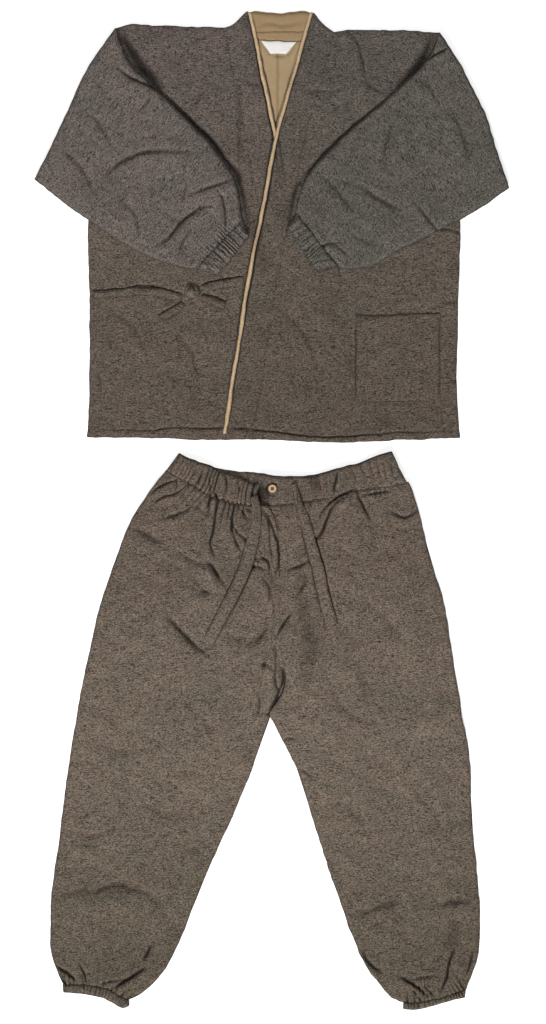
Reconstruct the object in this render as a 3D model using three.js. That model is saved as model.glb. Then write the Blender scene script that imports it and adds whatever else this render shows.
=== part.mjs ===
// Samue set: a lined work jacket and its trousers, laid flat and face up on a table.
// Millimetres, +Z up, +Y towards the collar. Left and right are the wearer's: the right side is at -X.
import * as THREE from "three";

// Driving dimensions
const COLLAR_TOP_Y = 896;
const CENTRE_X = 11;
const CLOTH = 2.2;
const THIN_CLOTH = 1.2;
const SEAM_GAP = 0.3;
const CURVED_SEAM_GAP = 0.9;
const COLLAR_WIDTH = 48;
const COLLAR_WALL = 2.6;
const PIPING_WIDTH = 6.5;
const PIPING_WALL = 3;
const FRONT_RISE = 1.6;
const OVERLAP_RISE = 3.6;
const OVERLAP_SLOPE = 70;
const SLEEVE_LOFT = 6.2;
const TIE_WIDTH = 13;
const TIE_WALL = 1.8;
const LEG_RISE = 1.6;
const BAND_WALL = 4;
const DRAWSTRING_WIDTH = 20;
const BUTTON_RADIUS = 8;
const BUTTON_WALL = 2.6;
const RIM = 5;
const RIM_DROP = 0.28;
const POCKET_WALL = 1.6;
const LABEL_WALL = 0.8;
const KNOT_HEIGHT = 8;
const LEG_LOFT = 3.2;
const CUFF_RIB_HEIGHT = 1.5;
const HEM_BAND_HEIGHT = 6.2;
const HEM_RIB_HEIGHT = 1.1;

const COLOURS = {
  cloth: 0x645c54,
  lining: 0xa58a63,
  piping: 0xb59b78,
  label: 0xeeece6,
  button: 0xb39670,
};

const clamp01 = (t) => Math.min(1, Math.max(0, t));
const smooth = (t) => clamp01(t) ** 2 * (3 - 2 * clamp01(t));
const mix = (a, b, t) => a + (b - a) * t;

// A smooth function through the rows [at, value] of a short table, level or straight past its ends.
function profile(rows) {
  const slope = rows.map((row, i) => {
    const [x0, y0] = rows[Math.max(0, i - 1)];
    const [x1, y1] = rows[Math.min(rows.length - 1, i + 1)];
    return (y1 - y0) / (x1 - x0);
  });
  return (x) => {
    let i = 0;
    while (i < rows.length - 2 && x > rows[i + 1][0]) i += 1;
    const [x0, y0] = rows[i];
    const [x1, y1] = rows[i + 1];
    const w = x1 - x0;
    const t = clamp01((x - x0) / w);
    const a = y0 + slope[i] * w * t * (1 - t) ** 2;
    const b = y1 - slope[i + 1] * w * (1 - t) * t ** 2;
    return mix(a, b, smooth(t));
  };
}

// The relief of a table of folds at a point. Each is a ridge or a trough along a bent line that fades at
// its ends.
// Columns: start x, y, middle x, y, end x, y, half width, height.
function relief(folds) {
  const STEPS = 10;
  const lines = folds.map(([x0, y0, xm, ym, x1, y1, half, height]) => {
    const at = [];
    for (let i = 0; i <= STEPS; i += 1) {
      const t = i / STEPS;
      const [a, b, c] = [(1 - t) * (1 - 2 * t), 4 * t * (1 - t), t * (2 * t - 1)];
      at.push([a * x0 + b * xm + c * x1, a * y0 + b * ym + c * y1]);
    }
    return { at, half, height };
  });
  return (x, y) => {
    let z = 0;
    for (const { at, half, height } of lines) {
      let best = Infinity;
      let where = 0;
      for (let i = 0; i < STEPS; i += 1) {
        const [dx, dy] = [at[i + 1][0] - at[i][0], at[i + 1][1] - at[i][1]];
        const t = clamp01(((x - at[i][0]) * dx + (y - at[i][1]) * dy) / (dx * dx + dy * dy));
        const d = Math.hypot(x - at[i][0] - t * dx, y - at[i][1] - t * dy);
        if (d < best) [best, where] = [d, (i + t) / STEPS];
      }
      z += height * Math.exp(-((best / half) ** 2)) * smooth(4 * where) * smooth(4 * (1 - where));
    }
    return z;
  };
}

// Even steps from 0 to 1, with one more step close inside each end where an edge is rounded.
function stepsOf(count, inset) {
  if (inset === 0) return Array.from({ length: count + 1 }, (_, i) => i / count);
  const even = Array.from({ length: count + 1 }, (_, i) => mix(inset, 1 - inset, i / count));
  return [0, ...even, 1];
}

// A closed piece of cloth between a left and a right edge, which give a for a given b, and a bottom and
// a top edge, which give b for a given a. place turns (a, b) into (x, y).
const inPlace = (a, b) => [a, b];
const EDGE_STEPS = 6;

function panel({
  left, right, bottom, top, across, along, low, high, rim = RIM, place = inPlace,
}) {
  const middle = (bottom(0) + top(0)) / 2;
  const width = Math.abs(right(middle) - left(middle));
  const us = stepsOf(across, Math.min(0.3, rim / width));
  const vs = stepsOf(along, Math.min(0.3, rim / Math.abs(top(0) - bottom(0))));
  const drop = rim > 0 ? RIM_DROP : 0;
  const points = [];
  const rows = vs.map((v) => us.map((u) => {
    let a = mix(left(middle), right(middle), u);
    let b = mix(bottom(a), top(a), v);
    for (let i = 0; i < EDGE_STEPS; i += 1) {
      a = mix(left(b), right(b), u);
      b = mix(bottom(a), top(a), v);
    }
    const [x, y] = place(a, b);
    const atRim = u === 0 || u === 1 || v === 0 || v === 1;
    const [z0, z1] = [low(x, y, a, b), high(x, y, a, b)];
    const round = atRim ? drop * (z1 - z0) : 0;
    points.push([x, y, z0 + round / 2], [x, y, z1 - round]);
    return points.length - 2;
  }));
  const faces = [];
  const quad = (a, b, c, d) => faces.push([a, b, c], [a, c, d]);
  for (let j = 0; j + 1 < rows.length; j += 1) {
    for (let i = 0; i + 1 < us.length; i += 1) {
      const [p, q, r, s] = [rows[j][i], rows[j][i + 1], rows[j + 1][i + 1], rows[j + 1][i]];
      quad(p + 1, q + 1, r + 1, s + 1);
      quad(p, s, r, q);
    }
  }
  const last = rows.length - 1;
  const rimLoop = [
    ...rows[0],
    ...rows.slice(1, last).map((row) => row.at(-1)),
    ...[...rows[last]].reverse(),
    ...rows.slice(1, last).map((row) => row[0]).reverse(),
  ];
  rimLoop.forEach((p, i) => {
    const q = rimLoop[(i + 1) % rimLoop.length];
    quad(p, q, q + 1, p + 1);
  });
  return geometryOf(points, faces);
}

// A closed flat tape along a bent route, with its width and wall, lying on a floor height.
// Route columns: x, y, and the half width there as a share of the full one.
function tape({ route, width, wall, low, steps, across = 1 }) {
  const curve = new THREE.CatmullRomCurve3(route.map(([x, y]) => new THREE.Vector3(x, y, 0)));
  const length = curve.getLength();
  const share = profile(route.map(([, , s], i) => [i / (route.length - 1), s]));
  const place = (a, b) => {
    const t = clamp01(b / length);
    const at = curve.getPoint(t);
    const dir = curve.getTangent(t);
    return [at.x + a * dir.y * share(t), at.y - a * dir.x * share(t)];
  };
  return panel({
    left: () => -width / 2,
    right: () => width / 2,
    bottom: () => 0,
    top: () => length,
    across,
    along: steps,
    rim: 2,
    place,
    low,
    high: (x, y, a, b) => low(x, y, a, b) + wall,
  });
}

// A geometry whose faces point out, whichever way round the panel was placed.
function geometryOf(points, faces) {
  let volume = 0;
  for (const [a, b, c] of faces) {
    const [p, q, r] = [points[a], points[b], points[c]].map((v) => new THREE.Vector3(...v));
    volume += p.dot(q.cross(r));
  }
  const index = faces.flatMap(([a, b, c]) => (volume > 0 ? [a, b, c] : [a, c, b]));
  const geometry = new THREE.BufferGeometry();
  geometry.setAttribute("position", new THREE.Float32BufferAttribute(points.flat(), 3));
  geometry.setIndex(index);
  geometry.computeVertexNormals();
  return geometry;
}

const samue = new THREE.Group();

function add(name, geometry, colour) {
  const mesh = new THREE.Mesh(
    geometry,
    new THREE.MeshStandardMaterial({ color: COLOURS[colour], roughness: 0.95, metalness: 0 }),
  );
  mesh.name = name;
  samue.add(mesh);
}

// Jacket outline: each table gives x for a y, or y for an x.
const sideRight = profile([
  [131, -331], [230, -326], [374, -327], [524, -329], [648, -313], [774, -295], [866, -281],
]);
const sideLeft = profile([
  [131, 337], [230, 331], [374, 334], [499, 339], [524, 338], [648, 324], [774, 313], [857, 301],
]);
const hem = profile([[-331, 132], [-180, 130], [11, 128], [130, 125], [240, 127], [337, 131]]);
const neckline = profile([
  [-281, 866], [-264, 872], [-150, 868], [-83, 867], [-35, 852], [11, 847],
  [60, 848], [110, 858.5], [150, 863], [250, 861], [301, 857],
]);
const edgeRight = profile([
  [131, 98], [256, 79], [419, 56], [576, 23], [671, 7], [738, -7], [846, -29], [897, -40],
]);
const edgeLeft = profile([
  [131, -86], [256, -66], [419, -41], [576, -9], [671, 7], [738, 27], [846, 57], [897, 72],
]);
const collarTop = profile([
  [-84, 868], [-60, 881], [-42, 897], [11, 893], [71, 897], [92, 877], [112, 859],
]);
const facingFoot = profile([[-60, 868], [11, 870], [90, 868]]);

const PIPING_HALF = PIPING_WIDTH / 2;
const collarSeam = {
  right: (y) => edgeRight(y) - PIPING_HALF - COLLAR_WIDTH,
  left: (y) => edgeLeft(y) + PIPING_HALF + COLLAR_WIDTH,
};

// Height of the underside of each front: low along the side and shoulder seams, higher over the lining,
// and higher again where the left front laps over the right one.
const SEAM_FLAT = 10;
const RISE_SLOPE = 120;
const NECK_HALF = 100;
const NECK_FADE = { top: 800, slope: 120 };
const onBack = CLOTH + SEAM_GAP;

function seamDistance(x, y) {
  const side = Math.min(x - sideRight(y), sideLeft(y) - x);
  const pastNeck = Math.max(0, NECK_HALF - Math.abs(x - CENTRE_X));
  return Math.min(side, Math.abs(neckline(x) - y) + 3 * pastNeck);
}

function frontLowRight(x, y) {
  return onBack + FRONT_RISE * smooth((seamDistance(x, y) - SEAM_FLAT) / RISE_SLOPE);
}

function frontLowLeft(x, y) {
  const lap = smooth((edgeRight(y) + PIPING_WIDTH + OVERLAP_SLOPE - x) / OVERLAP_SLOPE);
  const below = smooth((NECK_FADE.top - y) / NECK_FADE.slope);
  return frontLowRight(x, y) + OVERLAP_RISE * lap * below;
}

// Largest folds of the jacket fronts that no sleeve covers.
const frontFoldsRight = relief([
  [-122, 754, -112, 735, -122, 708, 14, 1.5],
  [-262, 866, -240, 820, -215, 775, 20, 2.2],
]);
const frontFoldsLeft = relief([
  [50, 765, 100, 745, 140, 762, 14, 1.6],
  [60, 735, 90, 728, 118, 722, 12, 1.3],
  [142, 860, 170, 800, 196, 755, 18, 1.6],
  [280, 860, 262, 830, 245, 805, 18, 2.2],
  [306, 508, 325, 500, 338, 500, 10, 1.5],
]);
const frontTopRight = (x, y) => frontLowRight(x, y) + CLOTH + frontFoldsRight(x, y);
const frontTopLeft = (x, y) => frontLowLeft(x, y) + CLOTH + frontFoldsLeft(x, y);

// Back: two halves on the table, joined by the centre back seam.
for (const [name, left, right] of [
  ["jacket_back_right", sideRight, () => CENTRE_X - SEAM_GAP / 2],
  ["jacket_back_left", () => CENTRE_X + SEAM_GAP / 2, sideLeft],
]) {
  add(name, panel({
    left,
    right,
    bottom: hem,
    top: (x) => neckline(x) - CURVED_SEAM_GAP,
    across: 10,
    along: 10,
    rim: 0,
    low: () => 0,
    high: () => CLOTH,
  }), "cloth");
}

// Lining: two halves in the neck opening, tucked a little under the collar.
const TUCK = 4;
const LINING_FOOT_Y = 668;
const LINING_LEAST = 2;
const thinTop = () => onBack + THIN_CLOTH;
const liningLeft = (y) => Math.min(edgeRight(y) - TUCK, CENTRE_X - SEAM_GAP - LINING_LEAST);
const liningRight = (y) => Math.max(edgeLeft(y) + TUCK, CENTRE_X + SEAM_GAP + LINING_LEAST);
for (const [name, left, right] of [
  ["lining_right", liningLeft, () => CENTRE_X - SEAM_GAP / 2],
  ["lining_left", () => CENTRE_X + SEAM_GAP / 2, liningRight],
]) {
  add(name, panel({
    left,
    right,
    bottom: () => LINING_FOOT_Y,
    top: (x) => neckline(x) - SEAM_GAP,
    across: 2,
    along: 6,
    rim: 0,
    low: () => onBack,
    high: thinTop,
  }), "lining");
}

// Back neck: the collar's back stretch on the table, with the tan facing and a narrow band on it.
const backCollarLeft = profile([[848, -50], [866, -84], [882, -60], [896, -43]]);
const backCollarRight = profile([[848, 75], [859, 111], [878, 92], [896, 73]]);
const FACING_INSET = 1.5;
const facingSides = {
  left: (y) => edgeRight(y) - TUCK,
  right: (y) => edgeLeft(y) + TUCK,
};
add("collar_back", panel({
  left: backCollarLeft,
  right: backCollarRight,
  bottom: (x) => neckline(x) + SEAM_GAP,
  top: collarTop,
  across: 14,
  along: 2,
  rim: 0,
  low: () => 0,
  high: () => CLOTH,
}), "cloth");
add("collar_facing", panel({
  ...facingSides,
  bottom: facingFoot,
  top: (x) => collarTop(x) - FACING_INSET,
  across: 6,
  along: 2,
  rim: 0,
  low: () => onBack,
  high: thinTop,
}), "lining");
add("neck_band", panel({
  ...facingSides,
  bottom: (x) => neckline(x) + SEAM_GAP / 2,
  top: (x) => facingFoot(x) - SEAM_GAP,
  across: 6,
  along: 1,
  rim: 0,
  low: () => onBack,
  high: thinTop,
}), "lining");

// Label: a bare trapezoid that hangs from the neckline seam.
const LABEL = { top: 845, bottom: 823, topHalf: 31, bottomHalf: 13, centre: 12 };
const labelLow = thinTop() + SEAM_GAP;
function labelHalf(y) {
  const share = (y - LABEL.bottom) / (LABEL.top - LABEL.bottom);
  return mix(LABEL.bottomHalf, LABEL.topHalf, share);
}
add("label", panel({
  left: (y) => LABEL.centre - labelHalf(y),
  right: (y) => LABEL.centre + labelHalf(y),
  bottom: () => LABEL.bottom,
  top: () => LABEL.top,
  across: 2,
  along: 1,
  rim: 1.5,
  low: () => labelLow,
  high: () => labelLow + LABEL_WALL,
}), "label");

// Fronts, with the collar band and the piping along each front edge. out points away from the edge.
const PIPING_END = 9;
const FRONTS = {
  right: { out: -1, edge: edgeRight, side: sideRight, low: frontLowRight, top: frontTopRight },
  left: { out: 1, edge: edgeLeft, side: sideLeft, low: frontLowLeft, top: frontTopLeft },
};
for (const [name, { out, edge, side, low, top }] of Object.entries(FRONTS)) {
  const seam = collarSeam[name];
  const between = (inner, outer) => ({
    left: out < 0 ? outer : inner,
    right: out < 0 ? inner : outer,
  });
  add("jacket_front_" + name, panel({
    ...between((y) => seam(y) + out * 2 * SEAM_GAP, side),
    bottom: hem,
    top: (x) => neckline(x) - SEAM_GAP,
    across: 9,
    along: 16,
    low,
    high: top,
  }), "cloth");
  add("collar_" + name, panel({
    ...between((y) => edge(y) + out * (PIPING_HALF + 2 * SEAM_GAP), seam),
    bottom: hem,
    top: collarTop,
    across: 2,
    along: 14,
    low,
    high: (x, y) => low(x, y) + COLLAR_WALL,
  }), "cloth");
  add("piping_" + name, panel({
    left: (y) => edge(y) - PIPING_HALF,
    right: (y) => edge(y) + PIPING_HALF,
    bottom: (x) => hem(x) + PIPING_END,
    top: () => COLLAR_TOP_Y,
    across: 1,
    along: 14,
    rim: 1.6,
    low,
    high: (x, y) => low(x, y) + PIPING_WALL,
  }), "piping");
}

// Patch pocket on the left front.
const POCKET = { left: 150, right: 302, bottom: 195 };
const POCKET_TOP = profile([[150, 349], [200, 348], [260, 351], [302, 352]]);
const pocketLow = (x, y) => frontTopLeft(x, y) + CURVED_SEAM_GAP;
add("pocket", panel({
  left: () => POCKET.left,
  right: () => POCKET.right,
  bottom: () => POCKET.bottom,
  top: POCKET_TOP,
  across: 6,
  along: 4,
  low: pocketLow,
  high: (x, y) => pocketLow(x, y) + POCKET_WALL,
}), "cloth");

// Sleeves. A sleeve is drawn in its own frame: a runs from the shoulder to the cuff, b from the lower
// to the inner edge. Each turns over the front at its outer fold, so a second stretch lies beside the
// body, hidden.
const SLEEVES = {
  right: {
    at: [-281, 866], angle: -43, flip: 1,
    fold: profile([[-294, 78], [-240, 63], [-133, 24], [-78, 10], [0, 0]]),
    lower: profile([
      [0, -300], [78, -294], [126, -294], [197, -285], [289, -268], [353, -249], [400, -217],
    ]),
    inner: profile([
      [0, 0], [54, -31], [134, -32], [258, -36], [337, -50], [375, -72], [400, -98],
    ]),
    cuffEnd: profile([[-206, 436], [-160, 434], [-106, 429]]),
    side: sideRight,
    folds: relief([
      [-290, 598, -212, 648, -150, 642, 16, 3.5],
      [-146, 570, -105, 582, -72, 595, 9, 2.6],
      [-152, 588, -158, 570, -162, 548, 9, 1.8],
      [-104, 578, -86, 550, -84, 500, 9, 2.6],
      [-102, 548, -150, 530, -208, 476, 12, -3.4],
      [-105, 530, -150, 505, -195, 470, 14, 3],
      [-212, 746, -225, 732, -238, 715, 8, -1.6],
      [-270, 786, -250, 765, -230, 752, 10, 2.2],
    ]),
    floor: frontTopRight,
  },
  left: {
    at: [301, 857], angle: -38, flip: -1,
    fold: profile([[-294, 72], [-224, 47], [-171, 26], [-105, 12], [-40, 1], [0, 0]]),
    lower: profile([
      [0, -300], [72, -294], [131, -293], [175, -286], [292, -263], [364, -252], [407, -215],
    ]),
    inner: profile([
      [0, 0], [38, -25], [131, -36], [241, -40], [350, -56], [375, -72], [407, -100],
    ]),
    cuffEnd: profile([[-198, 436], [-160, 434], [-119, 430]]),
    side: sideLeft,
    folds: relief([
      [157, 583, 193, 559, 227, 540, 16, -2.4],
      [150, 600, 190, 580, 230, 556, 16, 2.6],
      [60, 520, 70, 500, 74, 475, 9, 2.2],
      [80, 468, 100, 478, 122, 478, 10, -2.6],
      [115, 480, 130, 470, 142, 448, 9, 2.2],
      [250, 600, 275, 560, 290, 530, 16, 1.8],
    ]),
    floor: frontTopLeft,
  },
};
const CUFF = { start: 401, foot: -217, width: 120, ribs: 9 };
const cuffFoot = profile([[401, -216], [418, -208], [436, -202]]);
const cuffHead = profile([[401, -99], [418, -106], [436, -110]]);
const cuffRib = (b) => Math.cos((2 * Math.PI * CUFF.ribs * (b - CUFF.foot)) / CUFF.width);
const SLEEVE_GAP = 0.7;
const SIDE_SLOPE = 8;
const HIDDEN = { shares: [0.88, 0.7, 0.5, 0.3, 0.12], length: -294, inset: 3, drop: 8, footY: 530 };
const hiddenTop = 2 * CLOTH + SEAM_GAP;

for (const [side, sleeve] of Object.entries(SLEEVES)) {
  const turn = THREE.MathUtils.degToRad(sleeve.angle);
  const place = (a, b) => [
    sleeve.at[0] + sleeve.flip * (a * Math.cos(turn) - b * Math.sin(turn)),
    sleeve.at[1] + a * Math.sin(turn) + b * Math.cos(turn),
  ];
  const outside = (x, y) => smooth(sleeve.flip * (sleeve.side(y) - x) / SIDE_SLOPE + 0.5);
  const low = (x, y) => mix(sleeve.floor(x, y), hiddenTop, outside(x, y)) + SLEEVE_GAP;
  add("sleeve_" + side, panel({
    left: sleeve.fold,
    right: () => CUFF.start - SEAM_GAP,
    bottom: sleeve.lower,
    top: sleeve.inner,
    across: 11,
    along: 13,
    rim: 7,
    place,
    low,
    high: (x, y) => low(x, y) + SLEEVE_LOFT + sleeve.folds(x, y),
  }), "cloth");

  // The gathered cuff: ribs across an elastic band.
  add("sleeve_cuff_" + side, panel({
    left: () => CUFF.start,
    right: sleeve.cuffEnd,
    bottom: cuffFoot,
    top: cuffHead,
    across: 1,
    along: CUFF.ribs * 3,
    rim: 5,
    place,
    low,
    high: (x, y, a, b) => low(x, y) + SLEEVE_LOFT + CUFF_RIB_HEIGHT * cuffRib(b),
  }), "cloth");

  // The hidden stretch between the armhole and the fold, beside the body and on the table.
  const foldRows = HIDDEN.shares.map((share) => {
    const b = share * HIDDEN.length;
    return place(sleeve.fold(b), b);
  });
  const foldX = profile(foldRows.map(([x, y]) => [y, x + sleeve.flip * HIDDEN.inset]));
  const bodyX = (y) => sleeve.side(y) - sleeve.flip * CURVED_SEAM_GAP;
  const corner = [foldRows[0][0], foldRows[0][1] - HIDDEN.drop];
  const underarm = [sleeve.side(HIDDEN.footY), HIDDEN.footY];
  add("sleeve_armhole_" + side, panel({
    left: sleeve.flip > 0 ? foldX : bodyX,
    right: sleeve.flip > 0 ? bodyX : foldX,
    bottom: profile(sleeve.flip > 0 ? [corner, underarm] : [underarm, corner]),
    top: () => foldRows.at(-1)[1],
    across: 2,
    along: 6,
    low: () => 0,
    high: () => hiddenTop,
  }), "cloth");
}

// Ties on the right front, with their knot, loop and tails. Route columns: x, y, share of the width.
const TIE_GAP = 0.5;
const onRightFront = (x, y) => frontTopRight(x, y) + TIE_GAP;
const TIES = {
  tie_side: [[-322, 387, 1], [-270, 390, 1], [-228, 397, 1], [-190, 388, 1], [-161, 382, 0.85]],
  tie_front: [[-50, 412, 1], [-80, 408, 1], [-110, 402, 1], [-126, 397, 0.8]],
  tie_tail_right: [[-126, 381, 0.8], [-112, 377, 1], [-98, 372, 1], [-85, 367, 1]],
  tie_tail_left: [[-158, 370, 0.8], [-170, 362, 1], [-184, 354, 1], [-199, 344, 1]],
};
for (const [name, route] of Object.entries(TIES)) {
  add(name, tape({
    route,
    width: TIE_WIDTH,
    wall: TIE_WALL,
    low: onRightFront,
    steps: 5,
  }), "cloth");
}
const KNOT = { x: -142, y: 386, halfX: 14, halfY: 12, taper: 0.35, roundness: 1.2 };
const knotHalf = (y) => KNOT.halfX * (1 - KNOT.taper * ((y - KNOT.y) / KNOT.halfY) ** 2);
function knotTop(x, y) {
  const r = Math.hypot((x - KNOT.x) / KNOT.halfX, (y - KNOT.y) / KNOT.halfY);
  const swell = (KNOT_HEIGHT - TIE_WALL) * (1 - smooth(r / KNOT.roundness));
  return onRightFront(x, y) + TIE_WALL + swell;
}
add("tie_knot", panel({
  left: (y) => KNOT.x - knotHalf(y),
  right: (y) => KNOT.x + knotHalf(y),
  bottom: () => KNOT.y - KNOT.halfY,
  top: () => KNOT.y + KNOT.halfY,
  across: 4,
  along: 4,
  rim: 3,
  low: onRightFront,
  high: knotTop,
}), "cloth");

// Trousers outline. The leg's inner edge is the inseam, and above the crotch the centre front seam.
const CROTCH_Y = -368;
const outerRight = profile([
  [-853, -373], [-815, -387], [-761, -396], [-698, -396], [-603, -383], [-443, -362], [-304, -338],
  [-173, -308], [-92, -281], [-20, -254], [25, -225], [72, -187], [101, -166],
]);
const innerRight = profile([
  [-880, -258], [-869, -231], [-846, -209], [-812, -187], [-758, -158], [-707, -142], [-590, -89],
  [-490, -45], [-405, -16], [-380, -10], [-368, -4],
]);
const outerLeft = profile([
  [-860, 347], [-808, 365], [-745, 373], [-682, 371], [-556, 358], [-448, 356], [-363, 340],
  [-248, 322], [-153, 306], [-90, 283], [5, 263], [45, 247], [72, 232], [105, 216],
]);
const innerLeft = profile([
  [-882, 221], [-857, 196], [-806, 167], [-745, 139], [-673, 113], [-540, 69], [-468, 50],
  [-403, 13], [-380, 4], [-368, -2],
]);
const centreSeam = profile([
  [-368, -3], [-342, 10], [-306, 20], [-252, 9], [-162, 2], [-63, 2], [-22, -3], [12, -18],
  [75, -22],
]);
const legEndRight = profile([[-374, -853], [-333, -854], [-295, -860], [-259, -881], [-220, -876]]);
const legEndLeft = profile([[200, -872], [238, -886], [270, -884], [315, -875], [346, -862]]);
const waistSeam = profile([
  [-190, 72], [-149, 50], [-113, 27], [-68, 12], [-18, 8], [36, 12], [90, 20], [131, 31],
  [170, 39], [212, 43], [244, 50],
]);
const waistTop = profile([
  [-166, 101], [-140, 90], [-101, 74], [-72, 70], [-27, 65], [14, 61], [70, 62], [117, 76],
  [160, 86], [194, 101], [214, 105],
]);
const frontBandTop = profile([
  [-166, 99], [-140, 88], [-108, 74], [-92, 66], [-68, 60], [-45, 50], [-34, 44], [-23, 46],
]);
const legRightInner = (y) => (y < CROTCH_Y ? innerRight(y) : centreSeam(y));
const legLeftInner = (y) => (y < CROTCH_Y ? innerLeft(y) : centreSeam(y));

// Height of the underside of the trouser fronts: low along the outer seams and inseams.
const LEG_SLOPE = 90;
function legDistance(x, y) {
  const outer = Math.min(Math.abs(x - outerRight(y)), Math.abs(x - outerLeft(y)));
  if (y >= CROTCH_Y) return outer;
  return Math.min(outer, Math.abs(x - innerRight(y)), Math.abs(x - innerLeft(y)));
}
const legLow = (x, y) => onBack + LEG_RISE * smooth(legDistance(x, y) / LEG_SLOPE);

// Largest folds of the trouser fronts: gathers under the band, the sweep to the crotch, and the shins.
const legFolds = relief([
  [-112, 18, -108, -40, -98, -100, 9, -3],
  [-96, 24, -100, -30, -96, -80, 12, 3.4],
  [-68, 8, -72, -40, -54, -80, 9, -3.2],
  [-52, 8, -52, -30, -44, -60, 10, 3.4],
  [-58, 0, -48, -18, -38, -32, 7, -2.4],
  [-244, -36, -180, -80, -88, -150, 22, -2.6],
  [-205, -96, -150, -130, -90, -165, 20, 2.8],
  [-180, -190, -145, -235, -90, -270, 18, -3],
  [-95, -232, -50, -228, -6, -196, 16, -2.4],
  [-36, -235, -20, -300, -24, -390, 16, 3],
  [32, -160, 20, -190, 10, -235, 12, -2.4],
  [26, -262, 24, -310, 6, -350, 9, -3.6],
  [150, 30, 108, 0, 80, -55, 10, -3],
  [164, 26, 120, -10, 92, -60, 12, 2.8],
  [156, 34, 168, 8, 178, -18, 8, -2.6],
  [220, -8, 245, -14, 262, 2, 10, -2.2],
  [32, -108, 52, -100, 70, -90, 9, -2.6],
  [-375, -692, -285, -674, -192, -716, 18, -3],
  [-370, -712, -285, -700, -200, -740, 20, 2.8],
  [150, -728, 250, -705, 335, -704, 20, -2],
  [-230, -786, -240, -815, -280, -850, 12, -3.2],
  [-378, -820, -368, -835, -352, -850, 9, -2.6],
  [-345, -816, -338, -830, -336, -850, 9, 2.4],
  [320, -790, 315, -830, 306, -868, 11, -3],
  [240, -838, 262, -860, 278, -878, 10, -2.8],
  [170, -800, 185, -830, 215, -862, 10, 2.2],
]);
const UNDER_RIDGE = 0.35;
const LOFT_SLOPE = 60;
const frontLegLow = (x, y) => legLow(x, y) + UNDER_RIDGE * Math.max(0, legFolds(x, y));
function frontLegTop(x, y) {
  const loft = LEG_LOFT * smooth(legDistance(x, y) / LOFT_SLOPE);
  return legLow(x, y) + CLOTH + loft + legFolds(x, y);
}

const legGap = CURVED_SEAM_GAP / 2;
const LEGS = {
  right: { left: outerRight, right: (y) => legRightInner(y) - legGap, end: legEndRight },
  left: { left: (y) => legLeftInner(y) + legGap, right: outerLeft, end: legEndLeft },
};
for (const [side, { left, right, end }] of Object.entries(LEGS)) {
  const shape = {
    left,
    right,
    bottom: (x) => end(x) + CURVED_SEAM_GAP,
    top: (x) => waistSeam(x) - CURVED_SEAM_GAP,
  };
  add("trouser_back_" + side, panel({
    ...shape,
    across: 8,
    along: 13,
    rim: 0,
    low: () => 0,
    high: () => CLOTH,
  }), "cloth");
  add("trouser_front_" + side, panel({
    ...shape,
    across: 12,
    along: 23,
    low: frontLegLow,
    high: frontLegTop,
  }), "cloth");
}

// Gathered hem bands: ribs on a narrow band at the foot of each leg.
const HEM_BANDS = {
  right: {
    from: -374,
    to: -258,
    foot: profile([[-374, -867], [-340, -870], [-300, -878], [-268, -896], [-258, -892]]),
    head: legEndRight,
  },
  left: {
    from: 238,
    to: 346,
    foot: profile([[238, -897], [262, -898], [300, -889], [346, -876]]),
    head: legEndLeft,
  },
};
const HEM_RIB_PITCH = 12;
const hemRib = (x) => HEM_RIB_HEIGHT * Math.cos((2 * Math.PI * x) / HEM_RIB_PITCH);
for (const [side, { from, to, foot, head }] of Object.entries(HEM_BANDS)) {
  add("leg_band_" + side, panel({
    left: () => from,
    right: () => to,
    bottom: foot,
    top: head,
    across: 28,
    along: 1,
    rim: 3,
    low: () => 0,
    high: (x) => HEM_BAND_HEIGHT + hemRib(x),
  }), "cloth");
}

// Waistband: the back band on the table, and the front band on it in two stretches, the left one with
// the button. Elastic gathers it from one x to another, to a height.
const GATHER_PITCH = 11;
const GATHER_FADE = 15;
const BACK_GATHER = { from: -110, to: -20, height: 0.6 };
const FRONT_GATHER = { from: -125, to: -20, height: 1.2 };
function gather(x, { from, to, height }) {
  const within = smooth((x - from) / GATHER_FADE) * smooth((to - x) / GATHER_FADE);
  return height * within * Math.cos((2 * Math.PI * x) / GATHER_PITCH);
}
const BAND_END_X = -23;
const BAND_INSET = 1;
const BAND_FOLD = { x: 120, halfWidth: 9, height: 1.6 };
const bandLow = BAND_WALL + 0.2;
const bandTop = bandLow + BAND_WALL;
const waistRight = profile([[60, -195], [72, -187], [101, -167]]);
const waistLeft = profile([[45, 244], [72, 232], [105, 215]]);
const bandFold = (x) => BAND_FOLD.height * Math.exp(-(((x - BAND_FOLD.x) / BAND_FOLD.halfWidth) ** 2));
add("waistband_back", panel({
  left: waistRight,
  right: waistLeft,
  bottom: waistSeam,
  top: waistTop,
  across: 36,
  along: 1,
  rim: 4,
  low: () => 0,
  high: (x) => BAND_WALL - 1 + gather(x, BACK_GATHER),
}), "cloth");
add("waistband_front_right", panel({
  left: (y) => waistRight(y) + BAND_INSET,
  right: () => BAND_END_X - SEAM_GAP,
  bottom: waistSeam,
  top: frontBandTop,
  across: 42,
  along: 1,
  rim: 4,
  low: () => bandLow,
  high: (x) => bandTop + gather(x, FRONT_GATHER),
}), "cloth");
add("waistband_front_left", panel({
  left: () => BAND_END_X,
  right: (y) => waistLeft(y) - BAND_INSET,
  bottom: waistSeam,
  top: (x) => waistTop(x) - 2 * BAND_INSET,
  across: 20,
  along: 1,
  rim: 4,
  low: () => bandLow,
  high: (x) => bandTop + bandFold(x),
}), "cloth");

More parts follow.
